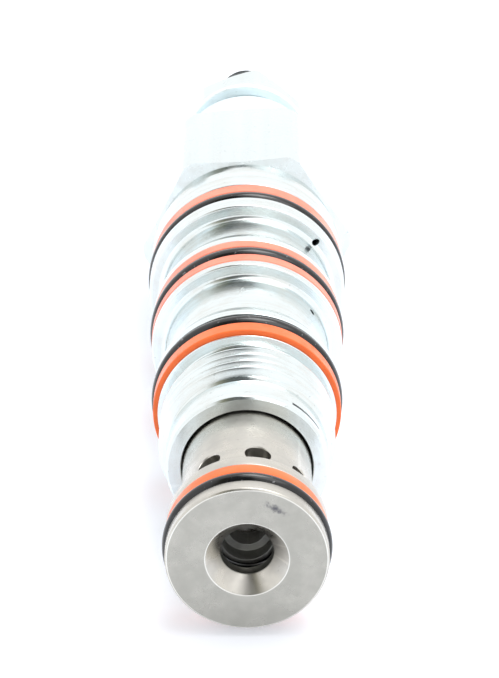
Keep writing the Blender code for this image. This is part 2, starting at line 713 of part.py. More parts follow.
def build_piston():
    """The relief piston with its cone, balance land and pilot land, and the pilot land's ring."""
    head_end = PISTON_HEAD_STATION + PISTON_HEAD_LENGTH
    land_end = PISTON_LAND_STATION + PISTON_LAND_LENGTH
    pilot_end = PILOT_LAND_STATION + PILOT_LAND_LENGTH
    ring_station = PILOT_LAND_STATION + PILOT_LAND_LENGTH / 2
    groove = PILOT_LAND_RADIUS - PISTON_RING_DEPTH - REST_GAP
    turned(
        "relief_piston",
        [
            (PISTON_TIP_STATION, 0.0),
            (PISTON_TIP_STATION, PISTON_TIP_RADIUS),
            (PISTON_HEAD_STATION, PISTON_HEAD_RADIUS),
            (head_end, PISTON_HEAD_RADIUS),
            (head_end + PISTON_HEAD_TAPER, PISTON_NECK_RADIUS),
            (PISTON_LAND_STATION - PISTON_LAND_TAPER, PISTON_NECK_RADIUS),
            (PISTON_LAND_STATION, SLEEVE_BORE_RADIUS - PLAY),
            (land_end, SLEEVE_BORE_RADIUS - PLAY),
            (land_end, PISTON_STEM_RADIUS),
            (PILOT_LAND_STATION, PISTON_STEM_RADIUS),
            (PILOT_LAND_STATION, PILOT_LAND_RADIUS),
            (ring_station - REST_GAP, PILOT_LAND_RADIUS),
            (ring_station - REST_GAP, groove),
            (ring_station + PISTON_RING_WIDTH + REST_GAP, groove),
            (ring_station + PISTON_RING_WIDTH + REST_GAP, PILOT_LAND_RADIUS),
            (pilot_end, PILOT_LAND_RADIUS),
            (pilot_end, PISTON_STEM_RADIUS),
            (PISTON_END, PISTON_STEM_RADIUS),
            (PISTON_END, 0.0),
        ],
        GROUND_STEEL,
        SMALL_SIDES,
    )
    ring_end = ring_station + PISTON_RING_WIDTH
    flat_ring(
        "piston_seal_ring",
        ring_station,
        ring_end,
        groove + REST_GAP,
        PILOT_LAND_RADIUS,
        NITRILE,
        PISTON_RING_EDGE,
        SMALL_SIDES,
    )


def build_guide_bush():
    """The bush that guides the piston, with its pilot gallery, seals and snap ring."""
    outer = BUSH_BORE_RADIUS - BUSH_CLEARANCE
    seal_outer = BUSH_BORE_RADIUS - BUSH_SEAL_PLAY
    groove = seal_outer - BUSH_SEAL_SECTION - REST_GAP
    gallery_end = BUSH_GALLERY_STATION + BUSH_GALLERY_LENGTH
    front_seal = BUSH_FRONT + BUSH_FRONT_SEAL_INSET
    rear_seal = gallery_end + BUSH_REAR_SEAL_INSET
    outline = [(BUSH_FRONT, PISTON_STEM_RADIUS + PLAY), (BUSH_FRONT, outer)]
    for seal in (front_seal, rear_seal):
        if seal == rear_seal:
            outline += [
                (BUSH_GALLERY_STATION, outer),
                (BUSH_GALLERY_STATION, outer - BUSH_GALLERY_DEPTH),
                (gallery_end, outer - BUSH_GALLERY_DEPTH),
                (gallery_end, outer),
            ]
        outline += [
            (seal - REST_GAP, outer),
            (seal - REST_GAP, groove),
            (seal + BUSH_SEAL_SECTION + REST_GAP, groove),
            (seal + BUSH_SEAL_SECTION + REST_GAP, outer),
        ]
    outline += [
        (BUSH_FLANGE, outer),
        (BUSH_FLANGE, BUSH_FLANGE_RADIUS),
        (BUSH_END, BUSH_FLANGE_RADIUS),
        (BUSH_END, PILOT_LAND_RADIUS + PLAY),
        (BUSH_PILOT_STATION, PILOT_LAND_RADIUS + PLAY),
        (BUSH_PILOT_STATION, PISTON_STEM_RADIUS + PLAY),
    ]
    bush = turned("guide_bush", outline, SATIN_STEEL, SMALL_SIDES)
    for k in range(4):
        near = (BUSH_GALLERY_STATION + BUSH_HOLE_INSET, PILOT_LAND_RADIUS - PILOT_HOLE_RADIUS)
        far = (BUSH_GALLERY_STATION + BUSH_HOLE_INSET, outer + PILOT_HOLE_RADIUS)
        angle = radians(PILOT_HOLE_TURN_DEG) + pi / 2 * k
        cut(bush, round_cutter(f"bush_hole_{k}", PILOT_HOLE_RADIUS, near, far, angle, 8))
    for name, seal in (("guide_bush_front_o_ring", front_seal), ("guide_bush_rear_o_ring", rear_seal)):
        o_ring(name, seal, seal_outer, BUSH_SEAL_SECTION, SMALL_SIDES, SMALL_CORD_SIDES)
    snap_ring("guide_bush_retaining_ring", BUSH_RING_STATION, BUSH_RING_INNER, BUSH_RING_OUTER)


def build_spring_pack():
    """The main spring between its two seats."""
    turned(
        "lower_spring_seat",
        [
            (LOWER_SEAT_BACK + SPRING_SPIGOT_LENGTH, 0.0),
            (LOWER_SEAT_BACK + SPRING_SPIGOT_LENGTH, SPRING_SPIGOT_RADIUS - SPIGOT_EDGE),
            (LOWER_SEAT_BACK + SPRING_SPIGOT_LENGTH - SPIGOT_EDGE, SPRING_SPIGOT_RADIUS),
            (LOWER_SEAT_BACK, SPRING_SPIGOT_RADIUS),
            (LOWER_SEAT_BACK, SPRING_SEAT_RADIUS),
            (LOWER_SEAT_FRONT, SPRING_SEAT_RADIUS),
            (LOWER_SEAT_FRONT, PISTON_STEM_RADIUS + REST_GAP),
            (PISTON_END + REST_GAP, PISTON_STEM_RADIUS + REST_GAP),
            (PISTON_END + REST_GAP, 0.0),
        ],
        GROUND_STEEL,
        SMALL_SIDES,
    )
    coil(
        "main_spring",
        SPRING_START,
        SPRING_END,
        SPRING_COIL_RADIUS,
        SPRING_WIRE_RADIUS,
        SPRING_TURNS,
    )
    turned(
        "upper_spring_seat",
        [
            (UPPER_SEAT_FRONT - SPRING_SPIGOT_LENGTH, 0.0),
            (UPPER_SEAT_FRONT - SPRING_SPIGOT_LENGTH, SPRING_SPIGOT_RADIUS - SPIGOT_EDGE),
            (UPPER_SEAT_FRONT - SPRING_SPIGOT_LENGTH + SPIGOT_EDGE, SPRING_SPIGOT_RADIUS),
            (UPPER_SEAT_FRONT, SPRING_SPIGOT_RADIUS),
            (UPPER_SEAT_FRONT, SPRING_SEAT_RADIUS),
            (UPPER_SEAT_BACK, SPRING_SEAT_RADIUS),
            (UPPER_SEAT_BACK, UPPER_BOSS_RADIUS),
            (UPPER_BOSS_END, UPPER_BOSS_RADIUS),
            (UPPER_BOSS_END, SCREW_TIP_RADIUS + REST_GAP),
            (UPPER_SOCKET_BOTTOM, SCREW_TIP_RADIUS + REST_GAP),
            (UPPER_SOCKET_BOTTOM, 0.0),
        ],
        GROUND_STEEL,
        SMALL_SIDES,
    )


def build_adjuster():
    """The adjuster: bush, screw with its seal, washer and lock nut."""
    bush_outer = REAR_BORE_RADIUS - ADJUSTER_CLEARANCE
    seal_bore = SCREW_SEAL_RADIUS + PLAY
    thread_bore = SCREW_THREAD_RADIUS + PLAY
    seal_station = HEX_END - ADJUSTER_SEAL_INSET
    seal_groove = bush_outer - ADJUSTER_SEAL_SECTION - REST_GAP
    turned(
        "adjuster_bush",
        [
            (ADJUSTER_FRONT, SCREW_FLANGE_RADIUS + REST_GAP),
            (ADJUSTER_FRONT, bush_outer - BORE_EDGE),
            (ADJUSTER_FRONT + BORE_EDGE, bush_outer),
            (seal_station - REST_GAP, bush_outer),
            (seal_station - REST_GAP, seal_groove),
            (seal_station + ADJUSTER_SEAL_SECTION + REST_GAP, seal_groove),
            (seal_station + ADJUSTER_SEAL_SECTION + REST_GAP, bush_outer),
            (ADJUSTER_COLLAR, bush_outer),
            (ADJUSTER_COLLAR, ADJUSTER_COLLAR_RADIUS),
            (ADJUSTER_COLLAR_END - ADJUSTER_EDGE, ADJUSTER_COLLAR_RADIUS),
            (ADJUSTER_COLLAR_END, ADJUSTER_COLLAR_RADIUS - ADJUSTER_EDGE),
            (ADJUSTER_COLLAR_END, ADJUSTER_NECK_RADIUS),
            (ADJUSTER_END, ADJUSTER_NECK_RADIUS),
            (ADJUSTER_END, thread_bore),
            (ADJUSTER_SEAL_END, thread_bore),
            (ADJUSTER_SEAL_END, seal_bore),
            (ADJUSTER_STOP, seal_bore),
            (ADJUSTER_STOP, SCREW_FLANGE_RADIUS + REST_GAP),
        ],
        ZINC,
    )
    o_ring(
        "adjuster_bush_o_ring",
        seal_station,
        bush_outer,
        ADJUSTER_SEAL_SECTION,
        SIDES,
        SMALL_CORD_SIDES,
    )
    barrel = seal_bore - REST_GAP
    screw_seal_station = ADJUSTER_STOP + ADJUSTER_TRAVEL + REST_GAP
    screw_groove = SCREW_SEAL_RADIUS - SCREW_SEAL_SECTION - REST_GAP
    screw = turned(
        "adjusting_screw",
        [
            (SCREW_TIP, 0.0),
            (SCREW_TIP, SCREW_TIP_RADIUS - SCREW_TIP_EDGE),
            (SCREW_TIP + SCREW_TIP_EDGE, SCREW_TIP_RADIUS),
            (SCREW_FLANGE, SCREW_TIP_RADIUS),
            (SCREW_FLANGE, SCREW_FLANGE_RADIUS),
            (SCREW_BARREL, SCREW_FLANGE_RADIUS),
            (SCREW_BARREL, barrel),
            (screw_seal_station - REST_GAP, barrel),
            (screw_seal_station - REST_GAP, screw_groove),
            (screw_seal_station + SCREW_SEAL_SECTION + REST_GAP, screw_groove),
            (screw_seal_station + SCREW_SEAL_SECTION + REST_GAP, barrel),
            (SCREW_THREAD, barrel),
            (SCREW_THREAD, SCREW_THREAD_RADIUS),
            (SCREW_END - SCREW_POINT, SCREW_THREAD_RADIUS),
            (SCREW_END, SCREW_THREAD_RADIUS - SCREW_POINT),
            (SCREW_END, 0.0),
        ],
        BLACK_OXIDE,
        SMALL_SIDES,
    )
    socket_floor = SCREW_END - SCREW_SOCKET_DEPTH
    socket_mouth = SCREW_END + CUT_MARGIN
    cut(screw, hex_plug("screw_socket", socket_floor, socket_mouth, SCREW_SOCKET_ACROSS_FLATS))
    o_ring(
        "adjusting_screw_o_ring",
        screw_seal_station,
        SCREW_SEAL_RADIUS,
        SCREW_SEAL_SECTION,
        SMALL_SIDES,
        SMALL_CORD_SIDES,
    )
    washer_end = WASHER_START + WASHER_THICKNESS
    flat_ring("lock_washer", WASHER_START, washer_end, thread_bore, WASHER_RADIUS, ZINC, WASHER_EDGE)
    nut_corner = NUT_ACROSS_FLATS / sqrt(3)
    nut_chamfer = nut_corner - NUT_ACROSS_FLATS / 2 * NUT_FACE_SHARE
    nut = turned(
        "lock_nut",
        [
            (NUT_START, thread_bore + NUT_BORE_EDGE),
            (NUT_START, nut_corner - nut_chamfer),
            (NUT_START + nut_chamfer / sqrt(3), nut_corner),
            (NUT_END - nut_chamfer / sqrt(3), nut_corner),
            (NUT_END, nut_corner - nut_chamfer),
            (NUT_END, thread_bore + NUT_BORE_EDGE),
            (NUT_END - NUT_BORE_EDGE, thread_bore),
            (NUT_START + NUT_BORE_EDGE, thread_bore),
        ],
        ZINC,
    )
    flats = hex_cutter(
        "nut_flats",
        NUT_START - CUT_END_MARGIN,
        NUT_END + CUT_END_MARGIN,
        NUT_ACROSS_FLATS,
        NUT_TURN_DEG,
    )
    cut(nut, flats)


clear_scene()
build_nose()
build_body()
build_body_seals()
build_check()
build_piston()
build_guide_bush()
build_spring_pack()
build_adjuster()
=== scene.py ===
"""Looks for a four-port screw-in hydraulic cartridge valve, laid out as an add-on and run as a script.

The valve lies along Y with its nose towards -Y. Every piece is a surface worked out with numpy in the
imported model's frame, in metres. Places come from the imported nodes' boxes and from the sizes below.
"""

from math import cos, pi, radians, sin, sqrt, tan, tau

import bmesh
import bpy
import numpy as np
from bpy.props import FloatProperty, FloatVectorProperty, PointerProperty
from bpy.types import Operator, Panel, PropertyGroup
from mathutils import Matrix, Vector


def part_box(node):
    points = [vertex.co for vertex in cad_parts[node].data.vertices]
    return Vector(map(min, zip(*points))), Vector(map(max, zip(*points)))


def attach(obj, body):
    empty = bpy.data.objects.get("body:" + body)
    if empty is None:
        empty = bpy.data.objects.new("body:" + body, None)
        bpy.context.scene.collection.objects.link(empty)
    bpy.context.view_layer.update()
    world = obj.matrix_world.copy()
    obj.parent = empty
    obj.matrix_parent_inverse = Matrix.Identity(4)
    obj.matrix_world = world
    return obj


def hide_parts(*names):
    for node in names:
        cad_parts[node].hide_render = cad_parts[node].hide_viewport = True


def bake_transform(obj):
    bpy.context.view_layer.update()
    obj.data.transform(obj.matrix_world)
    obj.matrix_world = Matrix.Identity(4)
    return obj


bl_info = {
    "name": "Hydraulic cartridge valve",
    "version": (1, 0, 0),
    "blender": (4, 5, 0),
    "location": "3D view > Sidebar > Valve",
    "description": "Surfaces, finishes, camera and light for a screw-in cartridge valve",
    "category": "Object",
}

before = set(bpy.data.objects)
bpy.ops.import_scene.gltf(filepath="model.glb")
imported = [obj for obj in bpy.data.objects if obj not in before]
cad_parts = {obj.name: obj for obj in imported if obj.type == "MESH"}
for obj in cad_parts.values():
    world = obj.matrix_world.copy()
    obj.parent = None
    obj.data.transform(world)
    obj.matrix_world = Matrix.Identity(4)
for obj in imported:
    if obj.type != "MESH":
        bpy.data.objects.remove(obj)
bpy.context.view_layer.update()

MM = 0.001
WELD = 1e-7
REST_GAP = 0.3 * MM
SEAT_GAP = 0.02 * MM
PLAY = 0.1 * MM
COLUMNS = 192
RING_COLUMNS = 160
SMALL_COLUMNS = 96
SHARP_ANGLE = radians(32.0)
PORT_2_HOLES = 8
NICK_TURN = radians(33.5)
NICK_SPAN = radians(28.0)
NICK_COLUMNS = 25
NICK_HALF_WIDTH = 0.25 * MM
FLAT_TONE = 0.93
# Painted light: the adjuster bush and washer take the zinc colour lifted by a tenth, which brightens the collar's
# dark edge.
TUMBLED_PAINTED_LIGHT = 1.1


def front(node):
    """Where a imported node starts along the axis."""
    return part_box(node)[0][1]


def rear(node):
    """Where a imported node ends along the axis."""
    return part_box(node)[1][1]


def reach(node):
    """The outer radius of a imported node."""
    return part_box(node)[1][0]


def groove_of(first, last):
    """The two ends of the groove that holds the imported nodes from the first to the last."""
    return front(first) - REST_GAP, rear(last) + REST_GAP


def length(name, description, millimetres):
    """A length that a user can change, given in millimetres."""
    return FloatProperty(
        name=name, description=description, default=millimetres * MM, unit="LENGTH", precision=5
    )


def bearing(name, description, degrees):
    """An angle that a user can change, given in degrees."""
    return FloatProperty(name=name, description=description, default=radians(degrees), subtype="ANGLE")


def tint(name, description, colour):
    """A colour that a user can change."""
    return FloatVectorProperty(
        name=name, description=description, default=colour, subtype="COLOR", min=0.0, max=1.0
    )


class SleeveSizes(PropertyGroup):
    """Sizes of the nose sleeve."""

    nose_radius: length("Nose radius", "Radius of the two lands beside the nose seal", 8.7)
    nose_chamfer: length("Nose chamfer", "Chamfer round the nose face", 0.2)
    barrel_radius: length("Barrel radius", "Outer radius behind the nose", 7.15)
    bore_radius: length("Bore radius", "Radius of the bore behind the nose floor", 5.3)
    floor_thickness: length("Floor thickness", "Wall between the nose face and the bore", 3.0)
    port_radius: length("Port 1 radius", "Radius of the hole in the nose", 2.8)
    mouth_radius: length("Port 1 mouth radius", "Outer radius of the countersink", 4.45)
    mouth_depth: length("Port 1 mouth depth", "Depth of the countersink", 1.75)
    hole_radius: length("Port 2 hole radius", "Radius of the radial holes", 1.45)
    hole_place: length("Port 2 place", "Distance of the radial holes behind the nose face", 10.1)
    hole_turn: bearing("Port 2 turn", "Angle of the first hole from the top", 9.5)
    groove_length: length("Nose groove", "Length of the nose seal's groove", 3.3)
    land_length: length("Rear land", "Length of the land behind the nose seal", 1.7)


class BodySizes(PropertyGroup):
    """Sizes of the main body."""

    face_radius: length("Front face radius", "Outer radius of the front face", 8.8)
    face_chamfer: length("Face chamfer", "Chamfer round the front face", 0.28)
    pilot_length: length("Pilot length", "Length of the plain diameter in front of the thread", 3.8)
    nick_place: length("Nick place", "Distance of the short nick behind the front face", 1.25)
    nick_fade: length("Nick fade", "How far the nick rises out of the surface at its end", 0.25)
    lead_in: length("Lead-in", "Length of the chamfer at the thread's start", 0.7)
    thread_radius: length("Thread radius", "Radius over the thread's crests", 10.0)
    thread_pitch: length("Thread pitch", "Distance between crests", 1.5)
    thread_relief: length("Thread relief", "Length of the relief behind the thread", 1.1)
    shoulder_radius: length("Shoulder radius", "Radius of the locating shoulder", 10.3)
    shoulder_length: length("Shoulder length", "Length of the locating shoulder", 0.4)
    low_land: length("Front land radius", "Radius behind the front seal", 10.9)
    low_land_length: length("Front land length", "Length of the land behind the front seal", 1.1)
    waist_3: length("Port 3 waist radius", "Radius of the waist at port 3", 9.7)
    mid_land: length("Middle land radius", "Radius beside the middle seal", 11.45)
    mid_land_front: length("Middle land, front", "Length in front of the middle seal", 1.1)
    mid_land_rear: length("Middle land, rear", "Length behind the middle seal", 1.2)
    waist_4: length("Port 4 waist radius", "Radius of the waist at port 4", 10.4)
    waist_4_length: length("Port 4 waist length", "Length of the waist at port 4", 5.1)
    top_land: length("Rear land radius", "Radius beside the rear seal", 12.2)
    top_land_rear: length("Rear land length", "Length behind the rear seal", 2.7)
    bevel_length: length("Bevel length", "Length of the long bevel behind a land", 2.0)
    bevel_drop: length("Bevel drop", "Drop of the long bevel behind a land", 0.7)
    fillet: length("Waist fillet", "Radius of the corner behind each waist", 0.7)
    land_edge: length("Land edge", "Rounding of each land's front edge", 0.25)
    step_1: length("First step radius", "Radius of the step behind the rear land", 11.95)
    step_1_length: length("First step length", "Length of the step behind the rear land", 2.5)
    step_2: length("Second step radius", "Radius of the step in front of the hexagon", 11.6)
    step_2_length: length("Second step length", "Length of the step in front of the hexagon", 2.1)
    pilot_hole: length("Pilot hole radius", "Radius of the small drilled holes", 0.4)
    hole_turn_3: bearing("Port 3 hole turn", "Angle of port 3's holes from the top", 53.0)
    hole_turn_4: bearing("Port 4 hole turn", "Angle of port 4's holes from the top", 49.7)


class HexagonSizes(PropertyGroup):
    """Sizes of the wrench hexagon and the bores behind it."""

    across_flats: length("Across flats", "Spanner size of the body", 24.0)
    corner_radius: length("Corner radius", "Radius of the turned corners", 13.45)
    chamfer: length("Chamfer length", "Length of the corner chamfer at each end", 0.55)
    turn: bearing("Turn", "Angle of one flat from the top", 4.0)
    sleeve_bore: length("Sleeve bore", "Radius of the bore round the sleeve", 7.36)
    bush_bore: length("Bush bore", "Radius of the bore round the guide bush", 6.0)
    spring_bore: length("Spring bore", "Radius of the spring chamber", 7.6)
    rear_bore: length("Rear bore", "Radius of the bore round the adjuster", 8.6)
    rear_bore_depth: length("Rear bore depth", "Depth of the bore round the adjuster", 14.5)


class SealSizes(PropertyGroup):
    """Shares of the grooves that the O-rings take, and radii of the backup rings."""

    nose_share: FloatProperty(name="Nose O-ring share", default=0.5, min=0.2, max=0.8)
    low_share: FloatProperty(name="Front O-ring share", default=0.5, min=0.2, max=0.8)
    middle_share: FloatProperty(name="Middle O-ring share", default=0.38, min=0.2, max=0.6)
    top_share: FloatProperty(name="Rear O-ring share", default=0.5, min=0.2, max=0.8)
    nose_backup: length("Nose backup radius", "Outer radius of the nose backup ring", 8.75)
    low_backup: length("Front backup radius", "Outer radius of the front backup ring", 10.85)
    middle_backup: length("Middle backup radius", "Outer radius of the middle backup rings", 11.5)
    top_backup: length("Rear backup radius", "Outer radius of the rear backup ring", 12.15)


class AdjusterSizes(PropertyGroup):
    """Sizes of the adjuster."""

    collar_radius: length("Collar radius", "Radius of the bush's collar", 9.4)
    collar_length: length("Collar length", "Length of the bush's collar", 11.2)
    neck_radius: length("Neck radius", "Radius of the bush's rear end", 7.4)
    edge: length("Collar edge", "Chamfer of the collar's rear edge", 0.8)
    thread_radius: length("Screw radius", "Radius over the screw's crests", 4.0)
    thread_pitch: length("Screw pitch", "Distance between the screw's crests", 1.0)
    flange_radius: length("Flange radius", "Radius of the screw's stop flange", 5.6)
    seal_bore: length("Seal bore radius", "Radius of the bore that the screw's O-ring runs in", 5.25)
    socket: length("Socket", "Size across the flats of the screw's socket", 4.0)
    socket_depth: length("Socket depth", "Depth of the screw's socket", 5.0)
    nut_flats: length("Nut across flats", "Spanner size of the lock nut", 14.0)
    nut_turn: bearing("Nut turn", "Angle of one flat of the nut from the top", 20.0)


class FinishColours(PropertyGroup):
    """Colours of the finishes."""

    zinc: tint("Zinc plate", "Bright plating of the body", (0.775, 0.85, 0.872))
    zinc_warm: tint("Plating tarnish", "Warm tone where the plating is thin", (0.62, 0.54, 0.44))
    steel: tint("Satin steel", "Hardened steel of the sleeve", (0.61, 0.585, 0.53))
    steel_dark: tint("Steel mottling", "Darker cloud in the sleeve's steel", (0.46, 0.45, 0.43))
    ground: tint("Ground steel", "Piston, seat and spring seats", (0.60, 0.58, 0.55))
    # Painted shade: the check seat deep in the nose takes a darker copy of the ground steel, which stands in for
    # the shade inside the port.
    oiled: tint("Shaded steel", "Check seat deep in the nose", (0.31, 0.31, 0.29))
    spring: tint("Spring steel", "Springs and snap rings", (0.16, 0.16, 0.165))
    oxide: tint("Black oxide", "Adjusting screw", (0.17, 0.185, 0.19))
    rubber: tint("Nitrile", "O-rings", (0.004, 0.004, 0.0045))
    backup: tint("Backup ring", "Orange seal plastic", (0.95, 0.17, 0.034))
    # Painted glare: the two rear seals take a paler copy of the orange backup plastic, which stands in for glare
    # on that same plastic.
    glare_orange: tint("Rear backup rings", "Paler orange plastic of the two rear seals", (0.97, 0.265, 0.165))
    floor: tint("Floor", "Pale floor", (0.68, 0.70, 0.74))


class StageSettings(PropertyGroup):
    """Camera and light."""

    camera_place: FloatVectorProperty(
        name="Camera place", description="Where the camera stands",
        default=(0.0, -0.2745, 0.1548), subtype="TRANSLATION"
    )
    camera_tilt: bearing("Camera tilt", "Angle of the camera from straight down", 62.17)
    camera_turn: bearing("Camera turn", "Angle of the camera to the right", 0.0583)
    lens: FloatProperty(name="Lens", description="Focal length in millimetres", default=145.4, min=10.0)
    sky: FloatProperty(name="Room light", description="Strength of the white room", default=1.25, min=0.0)
    key: FloatProperty(
        name="Key light", description="Power of the overhead softbox", default=1.0, min=0.0, unit="POWER"
    )


# Surfaces


def rounded(corners, sizes, steps=4):
    """Outline whose corners become arcs.

    Each corner is replaced by the circle arc that touches its two edges at the given distance from
    it, sampled evenly by angle; the distance never passes 0.45 of the shorter edge.
    """
    place = np.asarray(corners, float)
    back = np.roll(place, 1, 0) - place
    ahead = np.roll(place, -1, 0) - place
    back_length = np.maximum(np.linalg.norm(back, axis=1), 1e-12)
    ahead_length = np.maximum(np.linalg.norm(ahead, axis=1), 1e-12)
    size = np.minimum(sizes, 0.45 * np.minimum(back_length, ahead_length))[:, None]
    back /= back_length[:, None]
    ahead /= ahead_length[:, None]
    middle = back + ahead
    spread = (middle**2).sum(1)[:, None]
    bent = spread > 1e-6
    centre = place + np.where(bent, 2 * size * middle / np.maximum(spread, 1e-6), 0.0)
    start, end = place + back * size - centre, place + ahead * size - centre
    angle = pi - np.arccos(np.clip((back * ahead).sum(1), -1.0, 1.0))[:, None, None]
    angle = np.maximum(angle, 1e-6)
    share = np.linspace(0.0, 1.0, steps + 1)[None, :, None]
    arc = np.sin((1 - share) * angle) * start[:, None] + np.sin(share * angle) * end[:, None]
    arc = centre[:, None] + arc / np.sin(angle)
    arc = np.where(bent[:, None], arc, place[:, None])
    return arc.reshape(-1, 2)


def angles(columns, turn=0.0):
    """Evenly spaced angles of one whole turn about the axis, first and last at the same place."""
    return np.linspace(0.0, tau, columns + 1) + turn


def about_axis(radius, along, angle):
    """The point (radius sin angle, along, radius cos angle), for whole arrays."""
    radius, along, angle = np.broadcast_arrays(radius, along, angle)
    return np.stack([radius * np.sin(angle), along, radius * np.cos(angle)], axis=-1)


def lathe(outline, columns, turn=0.0, closed=True):
    """Revolved outline: the point (y, r) of the outline at angle a lies at (r sin a, y, r cos a)."""
    outline = np.asarray(outline, float)
    if closed:
        outline = np.concatenate([outline, outline[:1]])
    return about_axis(outline[:, 1:], outline[:, :1], angles(columns, turn)[None])


def turned(corners, columns, turn=0.0, closed=True, steps=4):
    """Revolved outline whose corners are given as (y, r, rounding)."""
    corners = np.array(corners)
    return lathe(rounded(corners[:, :2], corners[:, 2], steps), columns, turn, closed)


def hex_radius(angle, across_flats, turn):
    """Radius of a hexagon at an angle: half the flats over the cosine of the angle from the nearest flat."""
    off = (angle + turn + pi / 6) % (pi / 3) - pi / 6
    return across_flats / 2 / np.cos(off)


def thread_sheet(start, end, crest, pitch, lead_in, columns, turn, valley=0.0):
    """Right-hand ISO thread on a grid that runs along the helix.

    Row u at angle a lies at start + valley + pitch (u + a / one turn), kept between start and end.
    Its radius follows the 60 degree profile with an eighth of the pitch flat at the crest and a
    quarter at the root, and rises out of a lead-in cone in front and a short cone behind.
    """
    depth = pitch * sqrt(3) / 2 * 5 / 8 * 17 / 15
    root = crest - depth
    angle = angles(columns, turn)[None]
    half = np.array([0.0, 0.09, 0.125, 0.16, 0.25, 0.34, 0.41, 0.4375, 0.465])
    period = np.concatenate([half, [0.5], 1.0 - half[:0:-1]])
    turns = int(np.ceil((end - start) / pitch)) + 3
    rows = (np.arange(-2, turns)[:, None] + period[None]).reshape(-1, 1)
    along = start + valley + pitch * (rows + (angle - turn) / tau)
    share = np.minimum(rows % 1.0, 1.0 - rows % 1.0)
    rise = np.clip((share - 0.125) / 0.3125, 0.0, 1.0)
    rise = 0.8 * rise + 0.2 * rise**2 * (3 - 2 * rise)
    along = np.clip(along, start, end)
    cone = root + (along - start) * (crest - root) / lead_in
    tail = root + (end - along) * 1.3
    radius = np.minimum(root + depth * rise, np.minimum(cone, tail))
    return about_axis(radius, along, angle), root


def torus(low, high, outer, thick, columns=RING_COLUMNS, turns=24):
    """O-ring between two places on the axis: an ellipse of a given thickness turned about the axis.

    The centre line dips and swells by a few hundredths of a millimetre round the ring, as a
    stretched ring does.
    """
    angle = angles(columns)[None]
    around = np.linspace(0.0, tau, turns + 1)[:, None]
    sway = 0.012 * MM * np.sin(3 * angle + outer / MM)
    radius = outer - thick / 2 + thick / 2 * np.sin(around) + sway
    along = (low + high) / 2 - (high - low) / 2 * np.cos(around) + sway / 2
    return about_axis(radius, along, angle)


def flat_ring(low, high, outer, inner, edge=0.16 * MM, columns=RING_COLUMNS):
    """Backup ring between two places on the axis: a rounded rectangle turned about the axis."""
    outline = [(low, inner), (low, outer), (high, outer), (high, inner)]
    return lathe(rounded(outline, edge), columns)


def tube(path, side, axial, section):
    """Section carried along a path: each point is path + side u + axial v, for the section's (u, v)."""
    return path[:, None] + side[:, None] * section[None, :, :1] + axial * section[None, :, 1:]


def snap_ring(node, inner, gap=radians(34.0), columns=96):
    """Snap ring: a rounded rectangle carried round the axis, open at the bottom."""
    low, high, outer = front(node), rear(node), reach(node)
    section = rounded([(inner, low), (outer, low), (outer, high), (inner, high)], 0.12 * MM, 3)
    section = np.concatenate([section, section[:1]])
    angle = pi + np.linspace(gap / 2, tau - gap / 2, columns)
    side = about_axis(1.0, 0.0, angle)
    path = np.zeros_like(side)
    return tube(path, side, np.array([0.0, 1.0, 0.0]), section)


def coil(start, end, coil_radius, wire_radius, turns, columns=48, sides=16, first=0.0, last=None):
    """Compression spring: a circle carried along a helix whose two end turns lie closed."""
    last = turns if last is None else last
    closed_pitch = 2.06 * wire_radius
    rise = (end - start - 2 * wire_radius - 2 * closed_pitch) / (turns - 2)
    turn = np.linspace(first, last, round((last - first) * columns) + 1)
    along = start + wire_radius + closed_pitch * np.minimum(turn, 1.0)
    along += rise * np.clip(turn - 1.0, 0.0, turns - 2) + closed_pitch * np.maximum(turn - turns + 1.0, 0.0)
    side = about_axis(1.0, 0.0, tau * turn)
    path = side * coil_radius + np.array([0.0, 1.0, 0.0]) * along[:, None]
    around = np.linspace(0.0, tau, sides + 1)
    section = wire_radius * np.stack([np.cos(around), np.sin(around)], axis=1)
    return tube(path, side, np.array([0.0, 1.0, 0.0]), section)


def drill(radius, near, far, angle, flare=0.0, flare_from=0.0, sides=40):
    """Drill shape for a cut: a circle carried from one (y, r) point to another in the plane at an angle.

    Past a distance along the way it widens by a flare, which breaks the hole's outer edge.
    """
    turned = np.array([[0.0, 0.0, sin(angle)], [0.0, 1.0, 0.0], [0.0, 0.0, cos(angle)]])
    start = turned @ np.array([0.0, near[0], near[1]])
    end = turned @ np.array([0.0, far[0], far[1]])
    way = end - start
    span = np.linalg.norm(way)
    way = way / span
    across = np.array([cos(angle), 0.0, -sin(angle)])
    other = np.cross(way, across)
    along = np.array([0.0, 0.0, flare_from if flare else span, span, span])[:, None]
    wide = np.array([0.0, radius, radius, radius + flare, 0.0])[:, None]
    around = np.linspace(0.0, tau, sides + 1)[None]
    offset = np.cos(around)[..., None] * across + np.sin(around)[..., None] * other
    return start + way * along[..., None] + offset * wide[..., None]


# Meshes


def mesh_of(name, sheets):
    """One closed mesh of several point grids, welded where they meet and facing outwards."""
    points, faces, first = [], [], 0
    for sheet in sheets:
        rows, columns = sheet.shape[:2]
        index = np.arange(rows * columns).reshape(rows, columns) + first
        quads = np.stack([index[:-1, :-1], index[:-1, 1:], index[1:, 1:], index[1:, :-1]], axis=-1)
        points.append(sheet.reshape(-1, 3))
        faces.append(quads.reshape(-1, 4))
        first += rows * columns
    points, faces = np.concatenate(points), np.concatenate(faces)
    mesh = bpy.data.meshes.new(name)
    mesh.from_pydata(points, [], faces.tolist())
    shape = bmesh.new()
    shape.from_mesh(mesh)
    bmesh.ops.remove_doubles(shape, verts=shape.verts, dist=WELD)
    bmesh.ops.dissolve_degenerate(shape, edges=shape.edges, dist=WELD / 10)
    rims = [edge for edge in shape.edges if edge.is_boundary]
    if rims:
        bmesh.ops.holes_fill(shape, edges=rims, sides=0)
    bmesh.ops.recalc_face_normals(shape, faces=shape.faces)
    if shape.calc_volume(signed=True) < 0.0:
        bmesh.ops.reverse_faces(shape, faces=shape.faces)
    shape.to_mesh(mesh)
    shape.free()
    return mesh


